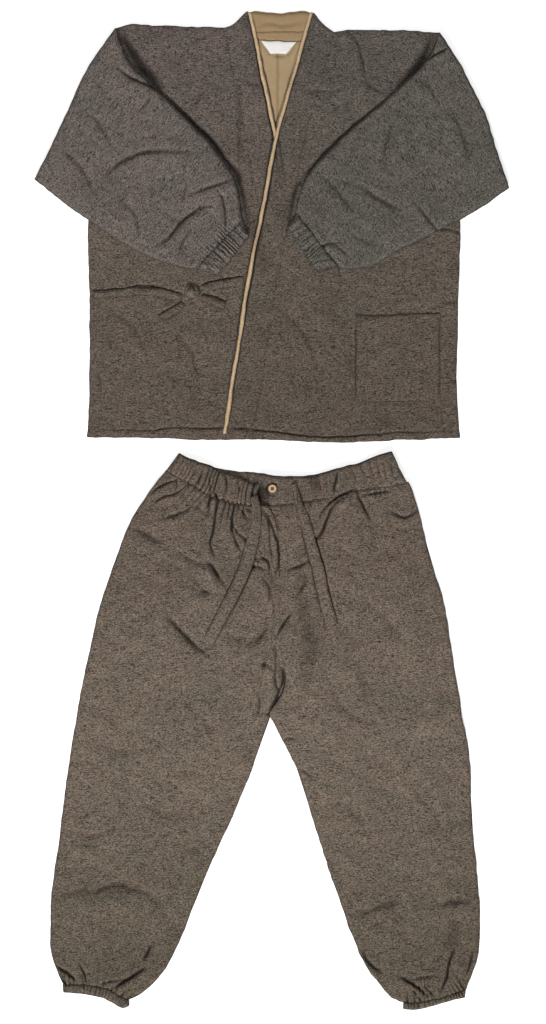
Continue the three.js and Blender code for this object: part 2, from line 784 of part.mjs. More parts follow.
// Edge of the fly: a narrow fold from the band down the centre front.
const FLY = { half: 6, foot: -120, gap: 0.9, wall: 2.1 };
const flyCentre = profile([[-122, 8], [-62, 6], [-25, 2], [8, -15]]);
const flyLow = (x, y) => frontLegTop(x, y) + FLY.gap;
add("fly_edge", panel({
  left: (y) => flyCentre(y) - FLY.half,
  right: (y) => flyCentre(y) + FLY.half,
  bottom: () => FLY.foot,
  top: (x) => waistSeam(x) - 1,
  across: 1,
  along: 8,
  rim: 2.5,
  low: flyLow,
  high: (x, y) => flyLow(x, y) + FLY.wall,
}), "cloth");

// Drawstring: two flat ends that come out of the band and lie on the fronts, over the edge of the fly.
// Route columns: x, y, share of the width.
const STRING_GAP = 0.9;
const BAND_STEP = { below: 34, slope: 24 };
const OVER_FLY = { height: 2.6, halfWidth: 16, foot: -130, slope: 20 };
function stringLow(x, y) {
  const onFront = frontLegTop(x, y) + STRING_GAP;
  const onBand = bandTop + STRING_GAP + BAND_FOLD.height;
  const toBand = smooth((y - waistSeam(x) + BAND_STEP.below) / BAND_STEP.slope);
  const beside = Math.exp(-(((x - flyCentre(y)) / OVER_FLY.halfWidth) ** 2));
  const overFly = OVER_FLY.height * beside * smooth((y - OVER_FLY.foot) / OVER_FLY.slope);
  return Math.max(onFront, mix(onFront, onBand, toBand)) + overFly;
}
const STRINGS = {
  drawstring_right: [
    [-32, 24, 0.6], [-27, 6, 0.75], [-29, -28, 0.9], [-43, -90, 1], [-64, -141, 1],
    [-88, -188, 1], [-115, -240, 1],
  ],
  drawstring_left: [
    [40, 48, 0.4], [47, 20, 0.5], [60, -20, 0.8], [71, -63, 0.9], [82, -100, 1],
    [92, -145, 1], [101, -180, 1], [108, -208, 1],
  ],
};
for (const [name, route] of Object.entries(STRINGS)) {
  add(name, tape({
    route,
    width: DRAWSTRING_WIDTH,
    wall: TIE_WALL,
    low: stringLow,
    steps: 14,
  }), "cloth");
}

// Button: a round disc with four holes.
const BUTTON = { x: 1, y: 38, hole: 0.9, holeFromCentre: 1.7 };
const fullTurn = 2 * Math.PI;
const disc = new THREE.Shape().absarc(0, 0, BUTTON_RADIUS, 0, fullTurn, false);
for (const [x, y] of [[1, 1], [-1, 1], [-1, -1], [1, -1]]) {
  const [holeX, holeY] = [x * BUTTON.holeFromCentre, y * BUTTON.holeFromCentre];
  disc.holes.push(new THREE.Path().absarc(holeX, holeY, BUTTON.hole, 0, fullTurn, true));
}
const button = new THREE.ExtrudeGeometry(disc, {
  depth: BUTTON_WALL,
  bevelEnabled: false,
  curveSegments: 8,
});
button.translate(BUTTON.x, BUTTON.y, bandTop + SEAM_GAP);
add("button", button, "button");

// The origin is the middle of the whole set's outline, on the table.
const outline = new THREE.Box3().setFromObject(samue);
samue.position.set(-(outline.min.x + outline.max.x) / 2, -(outline.min.y + outline.max.y) / 2, 0);

export default samue;
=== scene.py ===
import math

import bmesh
import bpy
import numpy as np
from mathutils import Matrix, Vector
from mathutils.kdtree import KDTree


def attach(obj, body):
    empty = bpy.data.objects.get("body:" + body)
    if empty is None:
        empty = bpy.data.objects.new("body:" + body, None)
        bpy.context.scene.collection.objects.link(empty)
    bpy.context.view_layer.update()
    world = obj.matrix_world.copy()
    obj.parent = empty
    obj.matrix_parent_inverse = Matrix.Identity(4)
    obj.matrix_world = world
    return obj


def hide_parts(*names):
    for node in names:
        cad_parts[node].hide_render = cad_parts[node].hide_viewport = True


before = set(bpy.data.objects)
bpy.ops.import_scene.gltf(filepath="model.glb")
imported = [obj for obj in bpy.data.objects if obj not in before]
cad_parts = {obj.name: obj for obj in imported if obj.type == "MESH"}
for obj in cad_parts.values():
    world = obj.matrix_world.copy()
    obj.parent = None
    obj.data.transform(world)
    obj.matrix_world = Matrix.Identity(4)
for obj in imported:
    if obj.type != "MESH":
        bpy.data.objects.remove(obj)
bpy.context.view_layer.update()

MM = 0.001
SEED = 11


# Sizes of the cloth in millimetres

WELD = 0.002  # corners nearer than this are one
SEAM_ROUNDING = 2.4  # width of the rounding along an edge
LOWEST = 0.2  # height below which no upper side goes
FULL_PAINTED_SHADE_DEPTH = 2.0  # depth at which the painted shade of a fold is at its darkest
DRIFT = 1.0  # how far the outline wanders
DRIFT_LENGTHS = (14, 90)  # shortest and longest wave of that


# Shares and counts

TOP_FACING = 0.2  # a face whose normal rises more than this is on the upper side
PAINTED_RIM_SHADE = 0.45  # painted shade along an edge with a seam 1 mm deep
DRIFT_WAVES = 24
LINE_STEPS = 10  # steps between two points of a line
SEAT_STEPS = 4  # the same for a line that is moved sideways


# Form of a crease, in its half widths, and the power with which it fades to its ends

CREASE_REACH = 5
GROOVE_WIDTH = 0.55
RIDGE_PLACE = 1.9
RIDGE_WIDTH = 1.3
CREASE_FADE = 0.6


# Form of the pleats that elastic draws up
# Columns: mean, swing, length of the swing in spacings

PLEAT_HEIGHT = (0.65, 0.35, 1.9)
PLEAT_LENGTH = (0.75, 0.35, 1.3)
PLEAT_DRIFT = (0, 1.5, 2.7)
PLEAT_JITTER = (0, 1.0, 1.0)
PLEAT_BEND = (0, 0.5, 3.1)

BEND_ACROSS = 1.5  # spacings across the pleats in which a bend turns by 1 radian
PLEAT_MIDDLE = 0.64  # mean height of a pleat's wave
PLEAT_REACH = 3  # reaches of the pleats beyond which they are flat


# Creases of the tables below in millimetres, each a groove between two soft ridges, with painted shade in
# the groove by its depth
# Columns: half width, depth, lift of the ridges, points that the groove runs through


# Sharper folds of the jacket

JACKET_FOLDS = [
    (4.0, 1.3, 0.5, [(-58, 774), (-38, 766), (-18, 763)]),
    (5.4, 1.0, 0.5, [(50, 756), (104, 751), (131, 756)]),
    (5.0, 0.9, 0.4, [(59, 731), (83, 727), (104, 718)]),
    (6.3, 1.1, 0.5, [(144, 778), (176, 763), (209, 745)]),
    (4.3, 1.6, 0.6, [(135, 859), (149, 850), (160, 819), (167, 783), (180, 760)]),
    (4.5, 1.8, 0.7, [(288, 508), (317, 504), (346, 497)]),
    (4.5, 1.2, 0.5, [(-311, 248), (-309, 230), (-308, 209)]),
    (5.4, 1.2, 0.6, [(-119, 565), (-101, 547), (-90, 522)]),
    (3.6, 1.3, 0.5, [(-169, 392), (-180, 378), (-202, 362)]),
]


# Wide soft rolls of the jacket; the wide troughs without ridges mostly paint shade on broad areas

JACKET_ROLLS = [
    (16.2, 0.7, 0.0, [(-43, 580), (-31, 518), (-14, 446), (22, 436)]),
    (14.4, 0.7, 0.0, [(50, 594), (31, 553), (23, 493)]),
    (10.8, 0.9, 0.4, [(-58, 774), (-59, 684), (-58, 585)]),
    (8.1, 1.1, 0.5, [(-122, 754), (-133, 738), (-146, 716)]),
    (7.2, 0.9, 0.5, [(-292, 360), (-247, 324), (-220, 270)]),
    (9.0, 0.8, 0.4, [(-184, 324), (-148, 288), (-130, 225)]),
    (9.0, 0.8, 0.4, [(-4, 378), (50, 324), (83, 261)]),
    (7.2, 0.8, 0.4, [(104, 468), (122, 423), (119, 378)]),
    (7.2, 1.0, 0.5, [(302, 374), (320, 373), (337, 374)]),
    (7.2, 1.0, 0.5, [(310, 230), (324, 232), (337, 230)]),
]


# Hollows of the fronts beside the folded sleeves, whose painted shade stands for the sleeves' shadow on the
# fronts

SLEEVE_SHADOW_HOLLOWS = [
    (16.2, 2.6, 0.2, [(-275, 869), (-257, 832), (-232, 796), (-191, 749)]),
    (9.0, 2.4, 0.2, [
        (-220, 765), (-155, 709), (-112, 668), (-86, 635), (-61, 599), (-49, 547), (-40, 493),
    ]),
    (14.4, 2.2, 0.2, [(292, 857), (266, 806), (223, 760)]),
    (6.3, 1.5, 0.2, [(223, 752), (137, 682), (97, 643), (56, 598), (40, 565), (31, 497)]),
]


# Seams and folds inside the neck

NECK_LINES = [
    (2.3, 1.4, 0.0, [(-29, 847), (-20, 840), (0, 820), (27, 820), (45, 844)]),
    (2.2, 0.9, 0.0, [(-31, 844), (11, 844), (50, 844)]),
    (2.3, 0.8, 0.3, [(-23, 810), (-9, 743), (5, 684)]),
    (2.3, 0.8, 0.3, [(45, 832), (29, 765), (13, 693)]),
    (5.4, 0.7, 0.2, [(-32, 875), (-4, 880), (23, 877), (56, 882)]),
]


# Loops of the knot

KNOT_CREASES = [
    (3.4, 3.2, 0.6, [(-162, 392), (-153, 403), (-140, 413), (-130, 407), (-126, 396)]),
    (2.3, 2.2, 0.4, [(-157, 394), (-146, 405), (-135, 396)]),
    (2.3, 2.0, 0.4, [(-153, 385), (-144, 396), (-135, 387)]),
]


# Seam above the jacket's hem

HEM_SEAM = [
    (2.9, 2.2, 0.4, [
        (-329, 144), (-220, 144), (-178, 149), (-88, 148), (-25, 144), (79, 135), (133, 135),
        (234, 140), (338, 143),
    ]),
]


# Seams of the pocket

POCKET_SEAMS = [
    (4.7, 1.2, 0.0, [(151, 346), (150, 270), (150, 193)]),
    (4.7, 1.2, 0.0, [(148, 194), (227, 194), (304, 194)]),
    (4.7, 0.7, 0.0, [(302, 346), (302, 270), (302, 193)]),
]


# Folds of the right sleeve

SLEEVE_RIGHT_CREASES = [
    (8.3, 1.9, 1.0, [(-310, 587), (-295, 605), (-265, 628), (-223, 643), (-144, 643)]),
    (5.4, 2.2, 1.0, [(-151, 567), (-121, 576), (-72, 594)]),
    (4.3, 1.2, 0.5, [(-151, 592), (-157, 571), (-164, 547)]),
    (4.7, 2.0, 0.8, [(-104, 583), (-86, 551), (-83, 497)]),
    (5.4, 2.8, 1.3, [(-104, 547), (-130, 542), (-162, 518), (-184, 490), (-211, 472)]),
    (5.4, 1.4, 0.7, [(-214, 751), (-223, 733), (-238, 715)]),
    (5.4, 2.0, 0.9, [(-281, 796), (-256, 778), (-234, 769), (-202, 754)]),
    (9.0, 1.2, 0.6, [(-382, 648), (-346, 616), (-317, 565)]),
    (9.0, 1.0, 0.5, [(-346, 720), (-310, 693), (-288, 648)]),
    (7.2, 1.2, 0.6, [(-274, 558), (-247, 531), (-238, 490)]),
    (5.4, 1.4, 0.7, [(-144, 508), (-158, 486), (-169, 457)]),
]


# Folds of the left sleeve

SLEEVE_LEFT_CREASES = [
    (8.3, 1.6, 0.8, [(144, 587), (185, 562), (234, 536)]),
    (5.0, 1.8, 0.8, [(257, 553), (281, 522), (304, 493)]),
    (9.0, 1.0, 0.5, [(83, 608), (117, 571), (149, 531)]),
    (4.7, 2.0, 0.9, [(58, 518), (74, 486), (76, 461)]),
    (4.7, 1.8, 0.8, [(72, 454), (97, 477), (126, 481)]),
    (4.3, 1.6, 0.6, [(108, 479), (122, 470), (137, 455)]),
    (9.0, 1.0, 0.5, [(320, 720), (342, 675), (356, 621)]),
    (9.0, 1.1, 0.5, [(221, 702), (203, 648), (202, 603)]),
    (9.0, 1.0, 0.5, [(140, 495), (176, 477), (203, 475)]),
    (7.2, 1.0, 0.5, [(266, 774), (288, 752), (302, 720)]),
    (4.0, 2.6, 0.8, [(279, 808), (297, 821), (319, 832)]),
    (6.3, 1.6, 0.0, [(286, 850), (290, 833), (286, 815)]),
]


# Dips of the waistband round the button, whose painted shade stands for the button's shadow

BUTTON_SHADOW_DIPS = [
    (3.2, 1.8, 0.2, [(-10, 32), (-8, 43), (1, 48), (10, 43), (12, 32)]),
    (3.2, 1.4, 0.2, [(11, 41), (8, 30), (1, 27), (-7, 30), (-10, 41)]),
]


# Folds below the waistband at the right hip

RIGHT_HIP_FOLDS = [
    (3.6, 2.5, 0.8, [(-221, 25), (-202, 41), (-184, 50), (-169, 56)]),
    (3.6, 2.2, 0.7, [(-220, 5), (-196, 23), (-169, 32), (-148, 52)]),
    (3.2, 2.0, 0.5, [(-173, 59), (-171, 47), (-176, 32)]),
    (4.0, 2.5, 0.8, [(-85, 65), (-81, 43), (-86, 22)]),
    (6.5, 1.3, 0.6, [(-110, -90), (-99, -117), (-103, -144)]),
    (4.0, 3.2, 0.8, [(-113, 61), (-111, 40), (-112, 18), (-115, -13)]),
    (4.0, 3.6, 0.8, [(-95, 72), (-103, 36), (-99, 18), (-104, -29), (-110, -63), (-99, -95)]),
    (3.2, 1.7, 0.4, [(-113, 22), (-98, 22)]),
    (4.7, 3.2, 0.8, [(-68, 13), (-72, -14), (-70, -43), (-52, -79)]),
    (5.8, 1.8, 0.8, [(-220, -20), (-180, -11), (-135, 7)]),
    (9.7, 1.6, 0.8, [(-247, -34), (-223, -47), (-198, -61)]),
    (5.8, 2.4, 1.0, [(-122, -86), (-101, -112), (-76, -148)]),
    (8.3, 2.2, 1.0, [(-193, -187), (-148, -234), (-113, -265)]),
    (7.6, 0.9, 0.9, [(-180, -117), (-130, -144), (-81, -148)]),
    (6.5, 1.4, 0.8, [(-175, -72), (-135, -94), (-103, -99)]),
]


# Folds beside the fly

FLY_FOLDS = [
    (4.3, 2.5, 0.8, [(-79, -4), (-65, -36), (-45, -56), (-32, -83)]),
    (3.2, 0.8, 0.3, [(-14, -83), (-7, -74), (2, -70)]),
    (4.7, 2.5, 0.8, [(-45, -112), (-31, -101), (-11, -108)]),
    (2.9, 1.7, 0.4, [(-61, 58), (-59, 32)]),
    (4.0, 2.0, 0.5, [(-58, 4), (-49, -9), (-41, -25)]),
    (3.2, 1.4, 0.3, [(-47, 4), (-36, -4)]),
    (3.2, 1.4, 0.3, [(38, 50), (45, 32)]),
    (4.7, 2.2, 0.7, [(25, -110), (49, -101), (74, -88)]),
    (3.6, 1.7, 0.4, [(-36, -90), (-18, -90)]),
    (3.6, 1.7, 0.4, [(-40, -92), (-29, -108)]),
    (5.4, 2.6, 0.8, [(38, -182), (22, -203), (5, -234)]),
    (4.3, 2.6, 0.8, [(-18, 5), (-2, -25), (9, -54), (13, -79), (11, -101), (5, -122)]),
    (3.6, 1.8, 0.4, [(-7, -9), (-4, -54), (0, -85)]),
    (4.0, 2.6, 0.6, [(-34, -88), (-18, -86), (-7, -95), (-4, -115)]),
    (4.3, 2.0, 0.6, [(-18, -119), (-5, -140), (-4, -162)]),
    (5.4, 1.2, 0.6, [(41, -162), (52, -144), (63, -126)]),
]


# Folds below the waistband at the left hip

LEFT_HIP_FOLDS = [
    (4.0, 3.6, 0.5, [(119, 72), (113, 50), (112, 31)]),
    (4.7, 3.4, 1.0, [(153, 41), (131, 31), (113, 20), (97, 7), (81, -18)]),
    (5.0, 3.4, 1.0, [(142, 32), (113, 11), (101, -11), (90, -40), (79, -56), (86, -79)]),
    (4.7, 2.5, 0.7, [(151, 40), (162, 13), (178, -20)]),
    (4.0, 2.0, 0.5, [(160, 29), (187, 31), (216, 34)]),
    (5.0, 2.5, 0.7, [(209, -2), (239, -13), (265, 2)]),
]


# Folds at the crotch and the inner legs

CROTCH_FOLDS = [
    (4.7, 1.6, 0.8, [(2, -234), (7, -261), (5, -284)]),
    (4.7, 1.6, 0.8, [(-18, -292), (-11, -266), (-7, -243)]),
    (6.5, 1.6, 0.8, [(-54, -247), (-27, -234), (-4, -207)]),
    (4.3, 2.6, 0.6, [(9, -270), (5, -301), (9, -328)]),
    (5.8, 0.9, 0.5, [(-31, -270), (-9, -279), (5, -256)]),
    (5.4, 1.6, 0.8, [(-29, -324), (-22, -351), (-31, -373)]),
    (6.1, 4.4, 1.0, [(18, -277), (22, -302), (16, -328), (0, -358), (-7, -371)]),
    (9.9, 1.6, 0.0, [(14, -284), (16, -313), (5, -342), (-7, -364)]),
    (3.2, 2.2, 0.3, [(7, -299), (9, -317), (14, -328)]),
    (3.2, 1.8, 0.3, [(-18, -362), (-9, -367), (2, -364)]),
    (9.0, 1.2, 0.3, [(-29, -284), (-11, -277), (7, -288)]),
    (4.3, 1.3, 0.5, [(20, -409), (47, -414)]),
    (4.3, 1.3, 0.5, [(49, -466), (76, -481)]),
]


# Folds above the leg bands

LEG_HEM_FOLDS = [
    (4.3, 3.3, 0.8, [(-385, -819), (-367, -832), (-351, -848)]),
    (4.0, 2.7, 0.6, [(-347, -812), (-338, -832), (-331, -855)]),
    (3.6, 2.1, 0.4, [(-342, -830), (-338, -862)]),
    (5.4, 4.2, 1.2, [(-229, -819), (-256, -839), (-279, -855), (-290, -866)]),
    (4.7, 2.7, 0.7, [(-218, -779), (-225, -794), (-234, -810)]),
    (4.0, 2.1, 0.5, [(-248, -808), (-252, -821), (-256, -833)]),
    (4.0, 2.1, 0.5, [(-313, -853), (-288, -846), (-261, -841)]),
    (5.0, 2.8, 0.8, [(167, -788), (176, -810), (203, -833)]),
    (5.0, 3.6, 1.0, [(227, -837), (256, -853), (283, -875)]),
    (3.6, 2.1, 0.4, [(248, -857), (270, -884)]),
    (3.6, 2.1, 0.4, [(274, -853), (292, -875)]),
    (4.7, 3.0, 0.8, [(326, -785), (317, -815), (313, -841), (302, -869)]),
    (4.3, 2.1, 0.5, [(245, -844), (275, -839), (306, -837)]),
    (4.7, 2.4, 0.6, [(356, -790), (353, -814), (346, -841)]),
]


# Wide soft rolls of the trousers; the wide troughs without ridges mostly paint shade on broad areas

LEG_ROLLS = [
    (27.0, 0.8, 0.0, [(49, -81), (58, -180), (72, -252), (47, -342)]),
    (21.6, 0.8, 0.0, [(335, -666), (328, -747), (302, -819)]),
    (19.8, 0.7, 0.0, [(-193, -58), (-158, -90), (-126, -135)]),
    (18.0, 0.6, 0.0, [(144, -261), (166, -324), (180, -387)]),
    (11.0, 0.9, 1.0, [(-202, -88), (-148, -117), (-101, -166)]),
    (12.2, 0.9, 0.8, [(-97, -229), (-40, -230), (-13, -209), (0, -194)]),
    (12.2, 0.7, 0.6, [(-25, -270), (-23, -306), (-18, -346)]),
    (12.2, 1.3, 1.0, [
        (-380, -691), (-349, -686), (-319, -686), (-283, -675), (-256, -679), (-229, -689),
        (-211, -702), (-189, -720),
    ]),
    (11.0, 1.3, 0.9, [(148, -729), (191, -715), (236, -698)]),
    (11.0, 1.2, 0.8, [(293, -713), (326, -706), (360, -702)]),
    (12.2, 0.7, 0.8, [(-324, -414), (-274, -436), (-220, -428)]),
    (12.2, 0.7, 0.7, [(-166, -342), (-121, -382), (-103, -432)]),
    (12.2, 0.7, 0.7, [(-364, -576), (-319, -587), (-277, -572)]),
    (12.2, 0.7, 0.7, [(158, -162), (203, -194), (238, -245)]),
    (12.2, 0.7, 0.7, [(104, -324), (144, -371), (203, -392)]),
    (12.2, 0.7, 0.7, [(104, -522), (144, -544), (180, -587)]),
    (12.2, 0.7, 0.7, [(248, -504), (284, -533), (302, -576)]),
    (12.2, 0.6, 0.7, [(-238, -522), (-202, -544), (-158, -544)]),
]


# Pleats of the elastic in millimetres
# Columns: reach from the line, height, spacing, points of the line

LEG_PLEATS = [
    (46, 5.2, 9.5, [(-150, 50), (-113, 23), (-67, 11), (-30, 9)]),
    (24, 2.2, 12, [(36, 16), (103, 19), (131, 34), (153, 38), (212, 40)]),
    (34, 3.4, 9, [(-371, -853), (-328, -853), (-288, -864), (-259, -880)]),
    (34, 3.4, 9, [(239, -884), (284, -877), (319, -869), (344, -857)]),
]

LEG_BAND_PLEATS = [
    (18, 3.0, 7, [(-373, -861), (-328, -862), (-285, -877), (-265, -893)]),
    (18, 3.0, 7, [(245, -892), (284, -890), (319, -878), (346, -868)]),
]

WAIST_PLEATS = [
    (30, 4.4, 8, [(-178, 84), (-133, 60), (-98, 46), (-60, 36), (-24, 30)]),
    (24, 0.8, 15, [(-10, 36), (30, 38), (80, 42)]),
    (28, 2.4, 13, [(86, 48), (120, 54), (170, 66), (220, 76)]),
]

RIGHT_PLEATS = [(15, 2.8, 7, [(-130, 446), (-98, 480), (-65, 511)])]
LEFT_PLEATS = [(15, 2.2, 7, [(56, 513), (74, 478), (99, 446)])]
RIGHT_CUFF_PLEATS = [(24, 3.6, 6, [(-115, 434), (-83, 468), (-53, 502)])]
LEFT_CUFF_PLEATS = [(24, 2.0, 6, [(45, 506), (64, 470), (89, 439)])]


# Quiet unevenness of laid cloth, as waves of random direction, in millimetres
# Columns: longest wave, shortest wave, height in all, number of waves

WAVES = [
    (260, 90, 1.1, 14),
    (80, 30, 0.65, 24),
    (28, 12, 0.22, 30),
]


# Pushes of the outline past the solids, in millimetres
# Columns: start of the node's name, middle, reach, push

PUSHES = [
    ("trouser_front_left", (9, -358), 20, (-9, -7)),  # crotch
    ("tie_knot", (-146, 390), 60, (-1, 7)),  # knot
    ("", (-394, -800), 42, (-5, -1)),  # right leg, outer corner
    ("", (-216, -830), 48, (3.5, -3)),  # right leg, inner corner
    ("", (160, -806), 62, (-4, -2)),  # left leg, inner corner
    ("", (363, -800), 48, (5, -1)),  # left leg, outer corner
    ("", (97, 126), 95, (0, -3)),  # jacket hem, left
    ("", (-122, 130), 50, (0, -2)),  # jacket hem, right
    ("", (-423, 597), 14, (-1, -4)),  # right sleeve, tip
    ("", (-361, 734), 60, (3, -1.5)),  # right sleeve, upper side
    ("", (-72, 877), 16, (1.5, -3)),  # collar, right slope
    ("", (94, 872), 16, (-1.5, -3)),  # collar, left slope
]


# Pieces inside the neck, which hang below their solids' seams, at heights in millimetres

NECK_PIECES = ("collar_facing", "neck_band", "label", "lining_right", "lining_left")
NECK_HEIGHTS = [780, 823, 847, 870, 888, 896]
NECK_DROPS = [0, -2, -2.5, -9, -2, 0]


# Lines on the cloth

def line_through(points, steps=LINE_STEPS):
    """A smooth line through the points, as a Catmull-Rom curve."""
    points = np.array(points, float)
    ends = np.vstack([2 * points[0] - points[1], points, 2 * points[-1] - points[-2]])
    t = np.linspace(0, 1, steps, endpoint=False)[:, None]
    parts = []
    for a, b, c, d in zip(ends, ends[1:], ends[2:], ends[3:]):
        parts.append(0.5 * (
            2 * b + (c - a) * t
            + (2 * a - 5 * b + 4 * c - d) * t**2
            + (3 * b - a - 3 * c + d) * t**3
        ))
    return np.vstack([*parts, points[-1:]])


def beside(points, distance):
    """The points of a line moved sideways, to the left of its way."""
    line = line_through(points, SEAT_STEPS)
    way = np.gradient(line, axis=0)
    way /= np.linalg.norm(way, axis=1)[:, None]
    return line + distance * np.stack([-way[:, 1], way[:, 0]], axis=1)


def near_line(line, xy, reach):
    """Which points lie in the box round the line."""
    return np.all((xy > line.min(0) - reach) & (xy < line.max(0) + reach), axis=1)


def distance_to(line, xy):
    """The distance of each point from the line, and the share of the line where it is nearest."""
    best = np.full(len(xy), np.inf)
    share = np.zeros(len(xy))
    lengths = np.linalg.norm(np.diff(line, axis=0), axis=1)
    starts = np.concatenate([[0], np.cumsum(lengths)])
    for i, length in enumerate(lengths):
        along = (line[i + 1] - line[i]) / length
        from_start = xy - line[i]
        t = np.clip(from_start @ along, 0, length)
        gap = np.linalg.norm(from_start - t[:, None] * along, axis=1)
        nearer = gap < best
        best[nearer] = gap[nearer]
        share[nearer] = (starts[i] + t[nearer]) / starts[-1]
    return best, share


# Heights and moves of the cloth in millimetres

def crease_height(creases, xy):
    """The height that the creases add at each point."""
    height = np.zeros(len(xy))
    for half, depth, lift, points in creases:
        line = line_through(points)
        near = near_line(line, xy, CREASE_REACH * half)
        if not near.any():
            continue
        gap, share = distance_to(line, xy[near])
        ends = np.sin(np.pi * np.clip(share, 0, 1)) ** CREASE_FADE
        groove = np.exp(-(gap / (GROOVE_WIDTH * half)) ** 2)
        ridges = np.exp(-((gap - RIDGE_PLACE * half) / (RIDGE_WIDTH * half)) ** 2)
        height[near] += ends * (lift * ridges - depth * groove)
    return height


def swing(form, along, shift):
    """A value that swings about its mean along a line."""
    mean, size, length = form
    return mean + size * np.sin(along / length + shift)


def pleat_height(pleats, xy):
    """The height of the pleats that elastic draws up beside its lines."""
    rng = np.random.default_rng(SEED)
    height = np.zeros(len(xy))
    for reach, size, spacing, points in pleats:
        line = line_through(points)
        length = np.linalg.norm(np.diff(line, axis=0), axis=1).sum()
        near = near_line(line, xy, PLEAT_REACH * reach)
        shifts = rng.uniform(0, math.tau, 4)
        if not near.any():
            continue
        gap, share = distance_to(line, xy[near])
        along = share * length / spacing
        drift = swing(PLEAT_DRIFT, along, shifts[0]) + swing(PLEAT_JITTER, along, shifts[1])
        bend = swing(PLEAT_BEND, along, gap / (BEND_ACROSS * spacing) + shifts[1])
        folds = np.abs(np.cos(math.pi * along + drift + bend)) - PLEAT_MIDDLE
        uneven = swing(PLEAT_HEIGHT, along, shifts[2])
        reach_here = reach * swing(PLEAT_LENGTH, along, shifts[3])
        height[near] += size * uneven * folds * np.exp(-(gap / reach_here) ** 2)
    return height


def wave_height(xy):
    """The quiet unevenness of the whole cloth."""
    rng = np.random.default_rng(SEED)
    height = np.zeros(len(xy))
    for longest, shortest, size, count in WAVES:
        for _ in range(count):
            length = rng.uniform(shortest, longest)
            angle = rng.uniform(0, math.pi)
            phase = rng.uniform(0, math.tau)
            along = xy @ np.array([math.cos(angle), math.sin(angle)])
            height += size / math.sqrt(count) * np.sin(math.tau * along / length + phase)
    return height


def outline_drift(xy):
    """A small sideways drift of the cloth, which makes its cut edges less straight."""
    rng = np.random.default_rng(SEED + 1)
    drift = np.zeros((len(xy), 2))
    for _ in range(DRIFT_WAVES):
        length = rng.uniform(*DRIFT_LENGTHS)
        angle, phase, way = rng.uniform(0, math.tau, 3)
        along = xy @ np.array([math.cos(angle), math.sin(angle)])
        push = np.sin(math.tau * along / length + phase)
        drift += DRIFT / math.sqrt(DRIFT_WAVES) * push[:, None] * [math.cos(way), math.sin(way)]
    return drift


def pushed(node, xy):
    """How far the pushes move each point of a piece."""
    move = np.zeros((len(xy), 2))
    for start, middle, reach, push in PUSHES:
        if node.startswith(start):
            gap = np.linalg.norm(xy - middle, axis=1)
            move += np.exp(-(gap / reach) ** 2)[:, None] * push
    return move


# Meshes of cloth, made on the form of the solids

def fine_surface(node, levels):
    """The upper surface of a solid as a fine smooth mesh."""
    bm = bmesh.new()
    bm.from_mesh(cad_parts[node].data)
    bmesh.ops.remove_doubles(bm, verts=bm.verts, dist=WELD * MM)
    under = [f for f in bm.faces if f.normal.z < TOP_FACING]
    bmesh.ops.delete(bm, geom=under, context="FACES")
    bmesh.ops.join_triangles(
        bm, faces=bm.faces, angle_face_threshold=0.5, angle_shape_threshold=1.2
    )
    coarse = bpy.data.meshes.new("coarse")
    bm.to_mesh(coarse)
    bm.free()
    shaped = bpy.data.objects.new("coarse", coarse)
    bpy.context.scene.collection.objects.link(shaped)
    smoother = shaped.modifiers.new("smooth", "SUBSURF")
    smoother.levels = levels
    smoother.boundary_smooth = "PRESERVE_CORNERS"
    graph = bpy.context.evaluated_depsgraph_get()
    fine = bpy.data.meshes.new_from_object(shaped.evaluated_get(graph))
    bpy.data.objects.remove(shaped)
    bpy.data.meshes.remove(coarse)
    return fine


def corners_of(mesh):
    """The places of the mesh's vertices in millimetres."""
    points = np.empty(3 * len(mesh.vertices))
    mesh.vertices.foreach_get("co", points)
    return points.reshape(-1, 3) / MM


def edge_distance(mesh, points):
    """How far each vertex is from the open edge of the mesh, in millimetres, up to a seam's rounding."""
    bm = bmesh.new()
    bm.from_mesh(mesh)
    rim = [v.index for v in bm.verts if v.is_boundary]
    bm.free()
    tree = KDTree(len(rim))
    for i in rim:
        tree.insert(points[i], i)
    tree.balance()
    return np.array([min(tree.find(p)[2], 3 * SEAM_ROUNDING) for p in points])


def outward(mesh):
    """The way out of the cloth at each vertex of its open edge, and no way at the others."""
    bm = bmesh.new()
    bm.from_mesh(mesh)
    out = np.zeros((len(mesh.vertices), 2))
    for edge in bm.edges:
        if edge.is_boundary:
            a, b = (v.co.xy for v in edge.verts)
            along = (b - a).normalized()
            away = (a + b) / 2 - edge.link_faces[0].calc_center_median().xy
            side = (away - away.dot(along) * along).normalized()
            for v in edge.verts:
                out[v.index] += side
    bm.free()
    size = np.linalg.norm(out, axis=1)
    out[size > 0] /= size[size > 0, None]
    return out


def add_cut_edge(mesh, out, drop, flare):
    """The cut edge of the cloth, turned down and out from its open edge, with painted shadow at its foot.
    """
    bm = bmesh.new()
    bm.from_mesh(mesh)
    shade = bm.verts.layers.float["shade"]
    rim = [e.link_loops[0] for e in bm.edges if e.is_boundary]
    foot = {}
    for loop in rim:
        v = loop.vert
        foot[v] = bm.verts.new(v.co + MM * Vector((*(flare * out[v.index]), -drop)))
        foot[v].co.z = max(foot[v].co.z, 0)
        # Painted shadow: the foot of the cut edge is fully dark
        foot[v][shade] = 1.0
    for loop in rim:
        a, b = loop.vert, loop.link_loop_next.vert
        bm.faces.new((b, a, foot[a], foot[b]))
    bm.to_mesh(mesh)
    bm.free()


